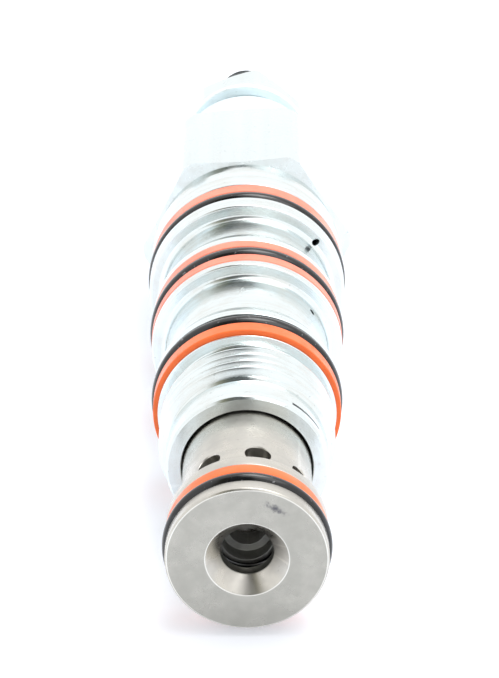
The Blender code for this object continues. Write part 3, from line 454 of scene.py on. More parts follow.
def cut(piece, drills):
    """Takes drill shapes out of a piece with an exact Boolean, and keeps the result as its mesh."""
    cutter = bpy.data.objects.new("drills", mesh_of("drills", drills))
    bpy.context.collection.objects.link(cutter)
    boolean = piece.modifiers.new("Drill", "BOOLEAN")
    boolean.operation = "DIFFERENCE"
    boolean.solver = "EXACT"
    boolean.object = cutter
    graph = bpy.context.evaluated_depsgraph_get()
    mesh = bpy.data.meshes.new_from_object(piece.evaluated_get(graph))
    piece.modifiers.clear()
    piece.data = mesh
    bpy.data.objects.remove(cutter, do_unlink=True)


def piece(name, sheets, nodes, body, slot, material, drills=()):
    """A finished piece: mesh, cuts, shading, material, and what it stands for and rides on."""
    made = bpy.data.objects.new(name, mesh_of(name, sheets))
    bpy.context.collection.objects.link(made)
    if drills:
        cut(made, drills)
    made.data.materials.clear()
    made.data.materials.append(material)
    made.data.shade_smooth()
    made.data.set_sharp_from_angle(angle=SHARP_ANGLE)
    weighted = made.modifiers.new("Even shading", "WEIGHTED_NORMAL")
    weighted.keep_sharp = True
    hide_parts(*nodes)
    if isinstance(body, str):
        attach(made, body)
    return made


# Finishes


def node(tree, kind, settings=None, inputs=None):
    """Adds a node with its settings; each input is a value or another node's output socket."""
    made = tree.nodes.new(kind)
    for key, value in (settings or {}).items():
        setattr(made, key, value)
    for key, value in (inputs or {}).items():
        if isinstance(value, bpy.types.NodeSocket):
            tree.links.new(value, made.inputs[key])
        else:
            made.inputs[key].default_value = value
    return made


def reckon(tree, operation, first, second=0.0):
    """A Math node's result."""
    return node(tree, "ShaderNodeMath", {"operation": operation}, {0: first, 1: second}).outputs[0]


def ranged(tree, value, low, high, to_low=0.0, to_high=1.0):
    """A value carried smoothly from one range to another, and kept inside it."""
    inputs = {"Value": value, "From Min": low, "From Max": high, "To Min": to_low, "To Max": to_high}
    return node(tree, "ShaderNodeMapRange", {"interpolation_type": "SMOOTHSTEP"}, inputs).outputs[0]


def mixed(tree, share, first, second):
    """Two colours mixed by a share."""
    return node(tree, "ShaderNodeMix", {"data_type": "RGBA"}, {0: share, 6: first, 7: second}).outputs[2]


def noise(tree, place, scale, detail=2.0, roughness=0.5, dimensions="3D"):
    """A noise value at a place."""
    key = "W" if dimensions == "1D" else "Vector"
    inputs = {key: place, "Scale": scale, "Detail": detail, "Roughness": roughness}
    return node(tree, "ShaderNodeTexNoise", {"noise_dimensions": dimensions}, inputs).outputs[0]


def group(name, inputs, outputs):
    """An empty node group with float sockets, and its input and output nodes."""
    tree = bpy.data.node_groups.new(name, "ShaderNodeTree")
    for label, value in inputs.items():
        tree.interface.new_socket(label, in_out="INPUT", socket_type="NodeSocketFloat").default_value = value
    for label in outputs:
        tree.interface.new_socket(label, in_out="OUTPUT", socket_type="NodeSocketFloat")
    return tree, tree.nodes.new("NodeGroupInput"), tree.nodes.new("NodeGroupOutput")


def turning_marks():
    """Feed lines of a lathe: noise along the axis on round faces and along the radius on flat ones."""
    tree, given, result = group("Turning marks", {"Pitch": 0.00012, "Breakup": 0.35}, ["Height", "Band"])
    place = node(tree, "ShaderNodeTexCoord").outputs["Object"]
    split = node(tree, "ShaderNodeSeparateXYZ", None, {0: place})
    across, up = (reckon(tree, "POWER", split.outputs[key], 2.0) for key in ("X", "Z"))
    radius = reckon(tree, "SQRT", reckon(tree, "ADD", across, up))
    way = reckon(tree, "ADD", split.outputs["Y"], reckon(tree, "MULTIPLY", radius, 1.37))
    along = reckon(tree, "DIVIDE", way, given.outputs["Pitch"])
    lines = noise(tree, along, 1.0, 3.0, 0.7, "1D")
    bands = noise(tree, reckon(tree, "MULTIPLY", along, 0.11), 1.0, 2.0, 0.6, "1D")
    patches = noise(tree, place, 420.0, 2.0)
    kept = reckon(tree, "SUBTRACT", 1.0, reckon(tree, "MULTIPLY", given.outputs["Breakup"], patches))
    tree.links.new(reckon(tree, "MULTIPLY", lines, kept), result.inputs["Height"])
    tree.links.new(bands, result.inputs["Band"])
    return tree


def drawn_lines():
    """Long fine lines along the axis, as on cold-drawn bar: noise stretched along Y."""
    tree, given, result = group("Drawn lines", {"Width": 0.00015}, ["Height", "Band"])
    place = node(tree, "ShaderNodeTexCoord").outputs["Object"]
    squash = {0: place, 1: (1.0, 0.02, 1.0)}
    flat = node(tree, "ShaderNodeVectorMath", {"operation": "MULTIPLY"}, squash).outputs[0]
    scale = reckon(tree, "DIVIDE", 1.0, given.outputs["Width"])
    tree.links.new(noise(tree, flat, scale, 3.0, 0.65), result.inputs["Height"])
    tree.links.new(noise(tree, flat, reckon(tree, "MULTIPLY", scale, 0.08), 2.0), result.inputs["Band"])
    return tree


def handling():
    """What handling leaves: soft clouds, pin-head specks and a few fine scratches."""
    tree, given, result = group("Handling", {"Cloud size": 0.004}, ["Cloud", "Speck", "Scratch"])
    place = node(tree, "ShaderNodeTexCoord").outputs["Object"]
    scale = reckon(tree, "DIVIDE", 1.0, given.outputs["Cloud size"])
    cloud = noise(tree, place, scale, 4.0, 0.6)
    tree.links.new(ranged(tree, cloud, 0.35, 0.68), result.inputs["Cloud"])
    specks = noise(tree, place, 2600.0, 1.0, 0.5)
    tree.links.new(ranged(tree, specks, 0.70, 0.78), result.inputs["Speck"])
    tilt = {0: place, "Rotation": (0.5, 0.9, 0.4)}
    tilted = node(tree, "ShaderNodeVectorRotate", {"rotation_type": "EULER_XYZ"}, tilt)
    stretch = {0: tilted.outputs[0], 1: (1.0, 0.05, 1.0)}
    long = node(tree, "ShaderNodeVectorMath", {"operation": "MULTIPLY"}, stretch)
    scratches = noise(tree, long.outputs[0], 1500.0, 1.0, 0.5)
    sparse = ranged(tree, noise(tree, place, 180.0, 1.0), 0.55, 0.66)
    lines = reckon(tree, "MULTIPLY", ranged(tree, scratches, 0.70, 0.76), sparse)
    tree.links.new(lines, result.inputs["Scratch"])
    return tree


def edge_rub():
    """Brighter rubbed edges, from how sharply the surface turns there."""
    tree, given, result = group("Edge rub", {"Amount": 1.0}, ["Edge"])
    turn = node(tree, "ShaderNodeNewGeometry").outputs["Pointiness"]
    edge = ranged(tree, turn, 0.53, 0.62)
    tree.links.new(reckon(tree, "MULTIPLY", edge, given.outputs["Amount"]), result.inputs["Edge"])
    return tree


def effect(tree, shared, **inputs):
    """A shared effect placed in a material with its own values."""
    made = tree.nodes.new("ShaderNodeGroup")
    made.node_tree = bpy.data.node_groups[shared]
    for key, value in inputs.items():
        made.inputs[key.replace("_", " ")].default_value = value
    return made


def opaque(colour):
    """A colour with full alpha."""
    return (*colour, 1.0)


def shader_of(name, metallic, roughness, **sockets):
    """A new material, its node tree and its Principled shader with constant values on its own sockets."""
    material = bpy.data.materials.new(name)
    material.use_nodes = True
    tree = material.node_tree
    shader = tree.nodes["Principled BSDF"]
    shader.inputs["Metallic"].default_value = metallic
    shader.inputs["Roughness"].default_value = roughness
    for key, value in sockets.items():
        shader.inputs[key.replace("_", " ")].default_value = value
    return material, tree, shader


def relief(tree, shader, height, depth, strength=1.0):
    """Feeds a height to the shader's normal through a Bump node of a depth in metres."""
    bump = node(tree, "ShaderNodeBump", None, {"Height": height, "Distance": depth, "Strength": strength})
    tree.links.new(bump.outputs[0], shader.inputs["Normal"])


def metal(name, colour, cloud_colour, roughness, marks, depth, cloud_share=0.5, rub=0.4):
    """Machined metal: two clouded colours, rubbed edges, specks and the lines of its machining."""
    material, tree, shader = shader_of(name, 1.0, roughness)
    lines = effect(tree, marks)
    worn = effect(tree, "Handling")
    edge = effect(tree, "Edge rub", Amount=rub)
    share = reckon(tree, "MULTIPLY", worn.outputs["Cloud"], cloud_share)
    base = mixed(tree, share, opaque(colour), opaque(cloud_colour))
    tone = ranged(tree, lines.outputs["Band"], 0.3, 0.7, 0.0, 0.16)
    base = mixed(tree, tone, base, opaque([0.75 * part for part in cloud_colour]))
    bright = opaque([min(1.0, 1.15 * part + 0.04) for part in colour])
    base = mixed(tree, edge.outputs["Edge"], base, bright)
    specked = reckon(tree, "MULTIPLY", worn.outputs["Speck"], 0.35)
    base = mixed(tree, specked, base, opaque([0.4 * part for part in colour]))
    tree.links.new(base, shader.inputs["Base Color"])
    rough = ranged(tree, worn.outputs["Cloud"], 0.0, 1.0, roughness * 0.85, roughness * 1.3)
    rough = reckon(tree, "ADD", rough, reckon(tree, "MULTIPLY", worn.outputs["Scratch"], 0.12))
    tree.links.new(rough, shader.inputs["Roughness"])
    scored = reckon(tree, "MULTIPLY", worn.outputs["Scratch"], 0.6)
    height = reckon(tree, "SUBTRACT", lines.outputs["Height"], scored)
    relief(tree, shader, height, depth)
    return material, tree, shader, base


def scuffed(tree, base, place, span, tilt, colour):
    """A dark scuff at a place on the nose face, broken up by noise and stretched along its tilt."""
    coordinates = node(tree, "ShaderNodeTexCoord").outputs["Object"]
    moved = node(tree, "ShaderNodeVectorMath", {"operation": "SUBTRACT"}, {0: coordinates, 1: place}).outputs[0]
    swing = {0: moved, "Angle": tilt}
    turned = node(tree, "ShaderNodeVectorRotate", {"rotation_type": "Y_AXIS"}, swing).outputs[0]
    shrunk = node(tree, "ShaderNodeVectorMath", {"operation": "DIVIDE"}, {0: turned, 1: span}).outputs[0]
    away = node(tree, "ShaderNodeVectorMath", {"operation": "LENGTH"}, {0: shrunk}).outputs["Value"]
    ragged = reckon(tree, "MULTIPLY", noise(tree, coordinates, 2200.0, 3.0, 0.7), 1.6)
    mask = ranged(tree, reckon(tree, "ADD", away, ragged), 0.75, 1.7, 0.85, 0.0)
    return mixed(tree, mask, base, opaque(colour))


def nose_face_with_painted_light(tree, base, nose, size, colour, dark):
    """The nose face in its own mottled tone made greyer by painted shade, a painted highlight on the mouth's rim
    and the face's outer edge, and painted shade on the port's wall behind its mouth.
    """
    place = node(tree, "ShaderNodeTexCoord").outputs["Object"]
    split = node(tree, "ShaderNodeSeparateXYZ", None, {0: place})
    depth = reckon(tree, "SUBTRACT", split.outputs["Y"], nose)
    flat = node(tree, "ShaderNodeVectorMath", {"operation": "MULTIPLY"}, {0: place, 1: (1.0, 0.0, 1.0)}).outputs[0]
    radius = node(tree, "ShaderNodeVectorMath", {"operation": "LENGTH"}, {0: flat}).outputs["Value"]
    # The face takes a greyer mottled tone: the mottle is the face's own, and the darker grey is painted shade.
    face = ranged(tree, depth, 0.02 * MM, 0.12 * MM, 1.0, 0.0)
    mottle = ranged(tree, noise(tree, place, 520.0, 4.0, 0.62), 0.32, 0.68, 0.74, 1.0)
    base = mixed(tree, reckon(tree, "MULTIPLY", face, mottle), base, opaque(colour))
    # Painted highlight: a thin bright line along the mouth's rim and the face's outer edge.
    rim = reckon(tree, "ABSOLUTE", reckon(tree, "SUBTRACT", radius, size.mouth_radius))
    edge = reckon(tree, "ABSOLUTE", reckon(tree, "SUBTRACT", radius, size.nose_radius - size.nose_chamfer))
    painted_rim_highlight = ranged(tree, reckon(tree, "MINIMUM", rim, edge), 0.03 * MM, 0.10 * MM, 0.75, 0.0)
    base = mixed(tree, reckon(tree, "MULTIPLY", face, painted_rim_highlight), base, (0.85, 0.84, 0.80, 1.0))
    # Painted shade: the port's wall behind the mouth is darkened to the dark colour.
    inside = ranged(tree, radius, size.port_radius + 0.02 * MM, size.port_radius + 0.12 * MM, 1.0, 0.0)
    return mixed(tree, reckon(tree, "MULTIPLY", inside, 0.93), base, opaque(dark))


def moulded(name, colour):
    """Orange seal plastic: a clouded colour with faint turning marks."""
    material, tree, shader = shader_of(
        name, 0.0, 0.38, Specular_IOR_Level=0.4, Sheen_Weight=0.22, Sheen_Roughness=0.35
    )
    lines = effect(tree, "Turning marks", Pitch=0.0002)
    worn = effect(tree, "Handling", Cloud_size=0.003)
    deep = opaque([0.86 * colour[0], 0.78 * colour[1], 0.8 * colour[2]])
    base = mixed(tree, reckon(tree, "MULTIPLY", worn.outputs["Cloud"], 0.6), opaque(colour), deep)
    tree.links.new(base, shader.inputs["Base Color"])
    tree.links.new(ranged(tree, worn.outputs["Cloud"], 0.0, 1.0, 0.3, 0.48), shader.inputs["Roughness"])
    relief(tree, shader, lines.outputs["Height"], 3e-6)
    return material


def build_finishes(colours, size):
    """Every material of the valve, by a short name."""
    turning_marks()
    drawn_lines()
    handling()
    edge_rub()
    looks = {}
    looks["zinc"] = metal("zinc_plate", colours.zinc, colours.zinc_warm, 0.19, "Turning marks", 3e-6, 0.22)[0]
    # A rougher zinc for the adjuster bush and washer, its colour lifted by a tenth as painted light on the
    # collar's dark edge.
    tumbled = [TUMBLED_PAINTED_LIGHT * part for part in colours.zinc]
    looks["tumbled"] = metal("zinc_plate_tumbled", tumbled, colours.zinc, 0.42, "Turning marks", 3e-6, 0.1)[0]
    flats = [FLAT_TONE * part for part in colours.zinc]
    looks["flats"] = metal("zinc_plate_flats", flats, colours.zinc_warm, 0.27, "Drawn lines", 4e-6, 0.12)[0]
    steel, tree, shader, base = metal(
        "satin_steel", colours.steel, colours.steel_dark, 0.30, "Turning marks", 2.5e-6, 0.55
    )
    nose = front("nose_sleeve")
    # Painted shade: the nose face's darker grey, and the dark colour of the port's wall.
    base = nose_face_with_painted_light(tree, base, nose, size, (0.38, 0.372, 0.338), (0.30, 0.30, 0.275))
    scuff = (2.9 * MM, nose, 6.3 * MM)
    base = scuffed(tree, base, scuff, (1.9 * MM, 1.0 * MM, 0.62 * MM), radians(-28.0), (0.06, 0.06, 0.08))
    tree.links.new(base, shader.inputs["Base Color"])
    looks["steel"] = steel
    looks["ground"] = metal("ground_steel", colours.ground, colours.steel_dark, 0.2, "Turning marks", 1e-6, 0.3)[0]
    # Painted shade: a darker, rougher copy of the ground steel for the check seat deep in the port.
    looks["oiled"] = metal("oiled_steel", colours.oiled, colours.spring, 0.5, "Turning marks", 1e-6, 0.3)[0]
    looks["spring"] = metal("spring_steel", colours.spring, colours.oxide, 0.32, "Drawn lines", 2e-6, 0.4)[0]
    looks["oxide"] = metal("black_oxide", colours.oxide, colours.spring, 0.38, "Turning marks", 2e-6, 0.25, 0.6)[0]

    material, tree, shader = shader_of(
        "nitrile", 0.0, 0.2, Specular_IOR_Level=0.3, Coat_Weight=0.5, Coat_Roughness=0.08
    )
    worn = effect(tree, "Handling", Cloud_size=0.002)
    clouded = reckon(tree, "MULTIPLY", worn.outputs["Cloud"], 0.5)
    dusty = mixed(tree, clouded, opaque(colours.rubber), (0.010, 0.010, 0.011, 1.0))
    specked = reckon(tree, "MULTIPLY", worn.outputs["Speck"], 0.5)
    dusty = mixed(tree, specked, dusty, (0.30, 0.30, 0.31, 1.0))
    tree.links.new(dusty, shader.inputs["Base Color"])
    tree.links.new(ranged(tree, worn.outputs["Cloud"], 0.0, 1.0, 0.14, 0.24), shader.inputs["Roughness"])
    relief(tree, shader, reckon(tree, "ADD", worn.outputs["Cloud"], worn.outputs["Speck"]), 4e-6)
    looks["rubber"] = material

    looks["backup"] = moulded("backup_plastic", colours.backup)
    # Painted glare: a paler copy of the orange backup plastic for the two rear seals.
    looks["glare_orange"] = moulded("backup_plastic_painted_glare", colours.glare_orange)
    return looks


LOOKS = {}


# Pieces


class VALVE_OT_finishes(Operator):
    """Make the finishes"""

    bl_idname = "valve.finishes"
    bl_label = "Finishes"

    def execute(self, context):
        LOOKS.update(build_finishes(context.scene.valve_colours, context.scene.valve_sleeve))
        return {"FINISHED"}


class VALVE_OT_sleeve(Operator):
    """Make the nose sleeve with ports 1 and 2"""

    bl_idname = "valve.sleeve"
    bl_label = "Nose sleeve"

    def execute(self, context):
        size = context.scene.valve_sleeve
        nose, end = front("nose_sleeve"), rear("nose_sleeve")
        groove_start = front("nose_o_ring") - REST_GAP
        groove_end = groove_start + size.groove_length
        groove = reach("nose_o_ring") - (rear("nose_o_ring") - front("nose_o_ring")) - REST_GAP
        ring_start, ring_end = groove_of("sleeve_retaining_ring", "sleeve_retaining_ring")
        ring_seat = size.barrel_radius - 0.65 * MM
        edge = 0.08 * MM
        corners = [
            (nose, size.mouth_radius, edge),
            (nose, size.nose_radius - size.nose_chamfer, edge),
            (nose + size.nose_chamfer, size.nose_radius, edge),
            (groove_start, size.nose_radius, edge),
            (groove_start, groove, edge),
            (groove_end, groove, edge),
            (groove_end, size.nose_radius, edge),
            (groove_end + size.land_length, size.nose_radius, 2 * edge),
            (groove_end + size.land_length, size.barrel_radius, edge),
            (ring_start, size.barrel_radius, edge),
            (ring_start, ring_seat, edge),
            (ring_end, ring_seat, edge),
            (ring_end, size.barrel_radius, edge),
            (end, size.barrel_radius, 3 * edge),
            (end, size.bore_radius, 3 * edge),
            (nose + size.floor_thickness, size.bore_radius, 2 * edge),
            (nose + size.floor_thickness, size.port_radius, edge),
            (nose + size.mouth_depth, size.port_radius, edge),
        ]
        place = nose + size.hole_place
        drills = [
            drill(
                size.hole_radius,
                (place, size.bore_radius - MM),
                (place, size.barrel_radius + MM),
                size.hole_turn + tau * k / PORT_2_HOLES,
                0.9 * MM,
                size.barrel_radius - size.bore_radius + 0.85 * MM,
            )
            for k in range(PORT_2_HOLES)
        ]
        sheet = turned(corners, COLUMNS)
        piece("nose_sleeve_turned", [sheet], ["nose_sleeve"], "cartridge", "satin_steel", LOOKS["steel"], drills)
        ring = snap_ring("sleeve_retaining_ring", 6.8 * MM)
        piece("sleeve_snap_ring", [ring], ["sleeve_retaining_ring"], "cartridge", "spring_steel", LOOKS["spring"])
        return {"FINISHED"}


class VALVE_OT_body(Operator):
    """Make the body with its thread, lands, waists and hexagon"""

    bl_idname = "valve.body"
    bl_label = "Body"

    def execute(self, context):
        size, hexagon = context.scene.valve_body, context.scene.valve_hexagon
        start, end = front("valve_body"), rear("valve_body")
        thread_end = -size.thread_relief
        edge = 0.09 * MM
        thread_start = start + size.pilot_length
        helix, root = thread_sheet(
            thread_start, thread_end, size.thread_radius, size.thread_pitch, size.lead_in, COLUMNS, -hexagon.turn,
            0.68 * MM,
        )
        pilot = [
            (start, size.face_radius, 0.0),
            (start + size.face_chamfer, root, edge),
            (thread_start, root, 0.0),
        ]
        pilot = turned(pilot, COLUMNS, -hexagon.turn, False)
        section = rear("mid_seal_o_ring") - front("mid_seal_o_ring")
        low_start, low_end = groove_of("thread_seal_backup_ring", "thread_seal_o_ring")
        mid_start, mid_end = groove_of("mid_seal_front_backup_ring", "mid_seal_rear_backup_ring")
        top_start, top_end = groove_of("top_seal_o_ring", "top_seal_backup_ring")
        low_groove = reach("thread_seal_o_ring") - section - REST_GAP
        mid_groove = reach("mid_seal_o_ring") - section - REST_GAP
        top_groove = reach("top_seal_o_ring") - section - REST_GAP
        wall_3 = mid_start - size.mid_land_front
        waist_3 = low_end + size.low_land_length + size.bevel_length
        waist_4 = mid_end + size.mid_land_rear + size.bevel_length
        wall_4 = waist_4 + size.waist_4_length
        top_land_end = top_end + size.top_land_rear
        hex_start = top_land_end + size.step_1_length + size.step_2_length
        corners = [
            (thread_end, root, 0.0),
            (0.0, root, 2 * edge),
            (0.0, size.shoulder_radius, edge),
            (low_start, size.shoulder_radius, edge),
            (low_start, low_groove, edge),
            (low_end, low_groove, edge),
            (low_end, size.low_land, edge),
            (low_end + size.low_land_length, size.low_land, edge),
            (waist_3, size.low_land - size.bevel_drop, edge),
            (waist_3, size.waist_3, 2 * edge),
            (wall_3, size.waist_3, size.fillet),
            (wall_3, size.mid_land, size.land_edge),
            (mid_start, size.mid_land, edge),
            (mid_start, mid_groove, edge),
            (mid_end, mid_groove, edge),
            (mid_end, size.mid_land, edge),
            (mid_end + size.mid_land_rear, size.mid_land, edge),
            (waist_4, size.mid_land - size.bevel_drop, edge),
            (waist_4, size.waist_4, 2 * edge),
            (wall_4, size.waist_4, size.fillet),
            (wall_4, size.top_land, size.land_edge),
            (top_start, size.top_land, edge),
            (top_start, top_groove, edge),
            (top_end, top_groove, edge),
            (top_end, size.top_land, edge),
            (top_land_end, size.top_land, edge),
            (top_land_end, size.step_1, 0.5 * edge),
            (top_land_end + size.step_1_length, size.step_1, edge),
            (top_land_end + size.step_1_length, size.step_2, 0.5 * edge),
            (hex_start, size.step_2, 0.0),
        ]
        outer = turned(corners, COLUMNS, -hexagon.turn, False)
        angle = angles(COLUMNS, -hexagon.turn)[None]
        wide = np.minimum(hex_radius(angle, hexagon.across_flats, hexagon.turn), hexagon.corner_radius)
        slope = (hexagon.corner_radius - size.step_2) / hexagon.chamfer
        scallop = (wide - size.step_2) / slope
        radii = np.concatenate([wide * 0 + size.step_2, wide, wide, wide * 0 + size.step_2])
        places = np.concatenate([angle * 0 + hex_start, hex_start + scallop, end - scallop, angle * 0 + end])
        flats = about_axis(radii, places, angle)
        ring = hexagon.sleeve_bore + 0.75 * MM
        bush_ring = hexagon.spring_bore + 0.8 * MM
        bush_start, bush_end = groove_of("guide_bush_retaining_ring", "guide_bush_retaining_ring")
        bush_shoulder = rear("guide_bush") - 2.0 * MM
        sleeve_end = rear("nose_sleeve") + REST_GAP
        ring_start, ring_end = groove_of("sleeve_retaining_ring", "sleeve_retaining_ring")
        break_edge = 0.3 * MM
        bores = [
            (end, size.step_2, 0.0),
            (end, hexagon.rear_bore + break_edge, edge),
            (end - break_edge, hexagon.rear_bore, edge),
            (end - hexagon.rear_bore_depth, hexagon.rear_bore, edge),
            (end - hexagon.rear_bore_depth, hexagon.spring_bore, edge),
            (bush_end, hexagon.spring_bore, edge),
            (bush_end, bush_ring, edge),
            (bush_start, bush_ring, edge),
            (bush_start, hexagon.spring_bore, edge),
            (bush_shoulder, hexagon.spring_bore, edge),
            (bush_shoulder, hexagon.bush_bore, edge),
            (sleeve_end, hexagon.bush_bore, edge),
            (sleeve_end, hexagon.sleeve_bore, edge),
            (ring_end, hexagon.sleeve_bore, edge),
            (ring_end, ring, edge),
            (ring_start, ring, edge),
            (ring_start, hexagon.sleeve_bore, edge),
            (start + PLAY, hexagon.sleeve_bore, 0.0),
            (start, hexagon.sleeve_bore + PLAY, 0.0),
            (start, size.face_radius, 0.0),
        ]
        inner = turned(bores, COLUMNS, -hexagon.turn, False, 3)
        gallery = (front("guide_bush") + rear("guide_bush")) / 2 + 1.9 * MM
        drills = []
        for k in range(2):
            inner_end, outer_end = (gallery, hexagon.bush_bore - MM), (gallery, size.waist_3 + MM)
            drills.append(drill(size.pilot_hole, inner_end, outer_end, size.hole_turn_3 + pi * k))
            chamber = (wall_4 + 4.6 * MM, hexagon.spring_bore - 1.2 * MM)
            mouth = (wall_4 - MM, size.waist_4 + size.fillet + MM)
            drills.append(drill(size.pilot_hole, chamber, mouth, size.hole_turn_4 + pi * k))
        angle = NICK_TURN + np.linspace(0.0, NICK_SPAN, NICK_COLUMNS)
        side = about_axis(1.0, 0.0, angle)
        lift = root + 0.12 * MM + size.nick_fade * np.linspace(0.0, 1.0, NICK_COLUMNS)[:, None]
        path = side * lift + np.array([0.0, start + size.nick_place, 0.0])
        around = np.linspace(0.0, tau, 13)
        section = 0.24 * MM * np.stack([1.9 * np.cos(around), np.sin(around)], axis=1)
        drills.append(tube(path, side, np.array([0.0, 1.0, 0.0]), section))
        sheets = [pilot, helix, outer, flats, inner]
        made = piece(
            "valve_body_turned", sheets, ["valve_body"], "cartridge", "zinc_plate", LOOKS["zinc"], drills
        )
        made.data.materials.append(LOOKS["flats"])
        centres = np.empty(3 * len(made.data.polygons))
        made.data.polygons.foreach_get("center", centres)
        x, y, z = centres.reshape(-1, 3).T
        on_hexagon = (y > hex_start) & (y < end) & (np.hypot(x, z) > size.step_2)
        # Painted shade: the faces inside the short nick take the dark black oxide finish, which stands in for the
        # shade in the cut.
        nick = start + size.nick_place
        below_root = (np.hypot(x, z) < root - 0.01 * MM) & (np.hypot(x, z) > root - MM)
        painted_nick_shade = (abs(y - nick) < NICK_HALF_WIDTH) & below_root
        made.data.materials.append(LOOKS["oxide"])
        made.data.polygons.foreach_set("material_index", (on_hexagon + 2 * painted_nick_shade).astype(np.int32))
        return {"FINISHED"}


class VALVE_OT_seals(Operator):
    """Make the O-rings and backup rings"""

    bl_idname = "valve.seals"
    bl_label = "Seals"

    def execute(self, context):
        size, sleeve = context.scene.valve_seals, context.scene.valve_sleeve
        nose = front("nose_o_ring") - REST_GAP
        low = groove_of("thread_seal_backup_ring", "thread_seal_o_ring")
        mid = groove_of("mid_seal_front_backup_ring", "mid_seal_rear_backup_ring")
        top = groove_of("top_seal_o_ring", "top_seal_backup_ring")
        nose = nose, nose + sleeve.groove_length
        middle = (1.0 - size.middle_share) / 2
        self.o_ring("nose_o_ring", nose, 0.0, size.nose_share)
        self.backup("nose_backup_ring", nose, size.nose_share, 1.0, "nose_o_ring", size.nose_backup)
        self.backup(
            "thread_seal_backup_ring", low, 0.0, 1.0 - size.low_share, "thread_seal_o_ring", size.low_backup
        )
        self.o_ring("thread_seal_o_ring", low, 1.0 - size.low_share, 1.0)
        self.backup("mid_seal_front_backup_ring", mid, 0.0, middle, "mid_seal_o_ring", size.middle_backup)
        self.o_ring("mid_seal_o_ring", mid, middle, 1.0 - middle)
        self.backup("mid_seal_rear_backup_ring", mid, 1.0 - middle, 1.0, "mid_seal_o_ring", size.middle_backup)
        self.o_ring("top_seal_o_ring", top, 0.0, size.top_share)
        self.backup("top_seal_backup_ring", top, size.top_share, 1.0, "top_seal_o_ring", size.top_backup)
        return {"FINISHED"}

    def o_ring(self, name, groove, first, last):
        """An O-ring that fills a share of its groove."""
        start, span = groove[0] + SEAT_GAP, groove[1] - groove[0] - 2 * SEAT_GAP
        thick = rear("mid_seal_o_ring") - front("mid_seal_o_ring")
        sheet = torus(start + first * span, start + last * span, reach(name), thick)
        piece(f"{name}_moulded", [sheet], [name], "cartridge", "nitrile", LOOKS["rubber"])

    def backup(self, name, groove, first, last, partner, outer):
        """A backup ring that fills a share of its groove beside its O-ring."""
        start, span = groove[0] + SEAT_GAP, groove[1] - groove[0] - 2 * SEAT_GAP
        inner = reach(partner) - (rear("mid_seal_o_ring") - front("mid_seal_o_ring"))
        sheet = flat_ring(start + first * span, start + last * span, outer, inner)
        # The middle and rear backup rings take the paler orange, which is painted glare.
        look = "glare_orange" if name.startswith(("mid", "top")) else "backup"
        piece(f"{name}_moulded", [sheet], [name], "cartridge", "backup_plastic", LOOKS[look])


class VALVE_OT_check(Operator):
    """Make the free-flow check seat and its spring"""

    bl_idname = "valve.check"
    bl_label = "Free-flow check"

    def execute(self, context):
        size = context.scene.valve_sleeve
        start, end = front("check_seat"), rear("check_seat")
        outer, bore, pocket, skirt = size.bore_radius - PLAY, 2.0 * MM, 4.5 * MM, 3.3 * MM
        floor, step = start + 2.2 * MM, start + 1.8 * MM
        corners = [
            (start + 0.2 * MM, pocket),
            (start + 0.2 * MM, outer),
            (end, outer),
            (end, bore + 0.2 * MM),
            (end - 0.2 * MM, bore),
            (step, bore),
            (step, size.port_radius),
            (start, size.port_radius),
            (start, skirt),
            (floor, skirt),
            (floor, pocket),
        ]
        sheet = lathe(rounded(corners, 0.08 * MM), RING_COLUMNS)
        # The ground steel seat takes the darker steel, which is painted shade inside the port.
        piece("check_seat_ground", [sheet], ["check_seat"], "check", "ground_steel", LOOKS["oiled"])
        low, high = front("check_spring"), rear("check_spring")
        wire = 0.25 * MM
        spring = coil(low, high, reach("check_spring") - wire, wire, 3.0)
        made = piece("check_spring_wound", [spring], ["check_spring"], None, "spring_steel", LOOKS["spring"])
        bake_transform(made)
        return {"FINISHED"}


class VALVE_OT_piston(Operator):
    """Make the relief piston"""

    bl_idname = "valve.piston"
    bl_label = "Relief piston"

    def execute(self, context):
        bore = context.scene.valve_sleeve.bore_radius
        tip, end = front("relief_piston"), rear("relief_piston")
        groove_start, groove_end = groove_of("piston_seal_ring", "piston_seal_ring")
        stem, neck, head, pilot = 2.4 * MM, 2.2 * MM, 2.9 * MM, 3.4 * MM
        groove = pilot - 0.75 * MM - REST_GAP
        land, land_end = tip + 7.7 * MM, tip + 13.7 * MM
        pilot_start, pilot_end = tip + 37.9 * MM, tip + 43.4 * MM
        edge = 0.1 * MM
        corners = [
            (tip, 0.0, 0.0),
            (tip, 1.2 * MM, edge),
            (tip + 2.1 * MM, head, edge),
            (tip + 2.5 * MM, head, edge),
            (tip + 3.2 * MM, neck, 2 * edge),
            (land - 0.5 * MM, neck, 2 * edge),
            (land, bore - PLAY, edge),
            (land_end, bore - PLAY, edge),
            (land_end, stem, edge),
            (pilot_start, stem, edge),
            (pilot_start, pilot, edge),
            (groove_start, pilot, edge),
            (groove_start, groove, edge),
            (groove_end, groove, edge),
            (groove_end, pilot, edge),
            (pilot_end, pilot, edge),
            (pilot_end, stem, edge),
            (end, stem, edge),
            (end, 0.0, 0.0),
        ]
        sheet = turned(corners, SMALL_COLUMNS, 0.0, False)
        piece("relief_piston_ground", [sheet], ["relief_piston"], "piston", "ground_steel", LOOKS["ground"])
        ring = flat_ring(
            front("piston_seal_ring"), rear("piston_seal_ring"), reach("piston_seal_ring"),
            groove + REST_GAP, 0.1 * MM,
            SMALL_COLUMNS,
        )
        piece("piston_seal_moulded", [ring], ["piston_seal_ring"], "piston", "nitrile", LOOKS["rubber"])
        return {"FINISHED"}


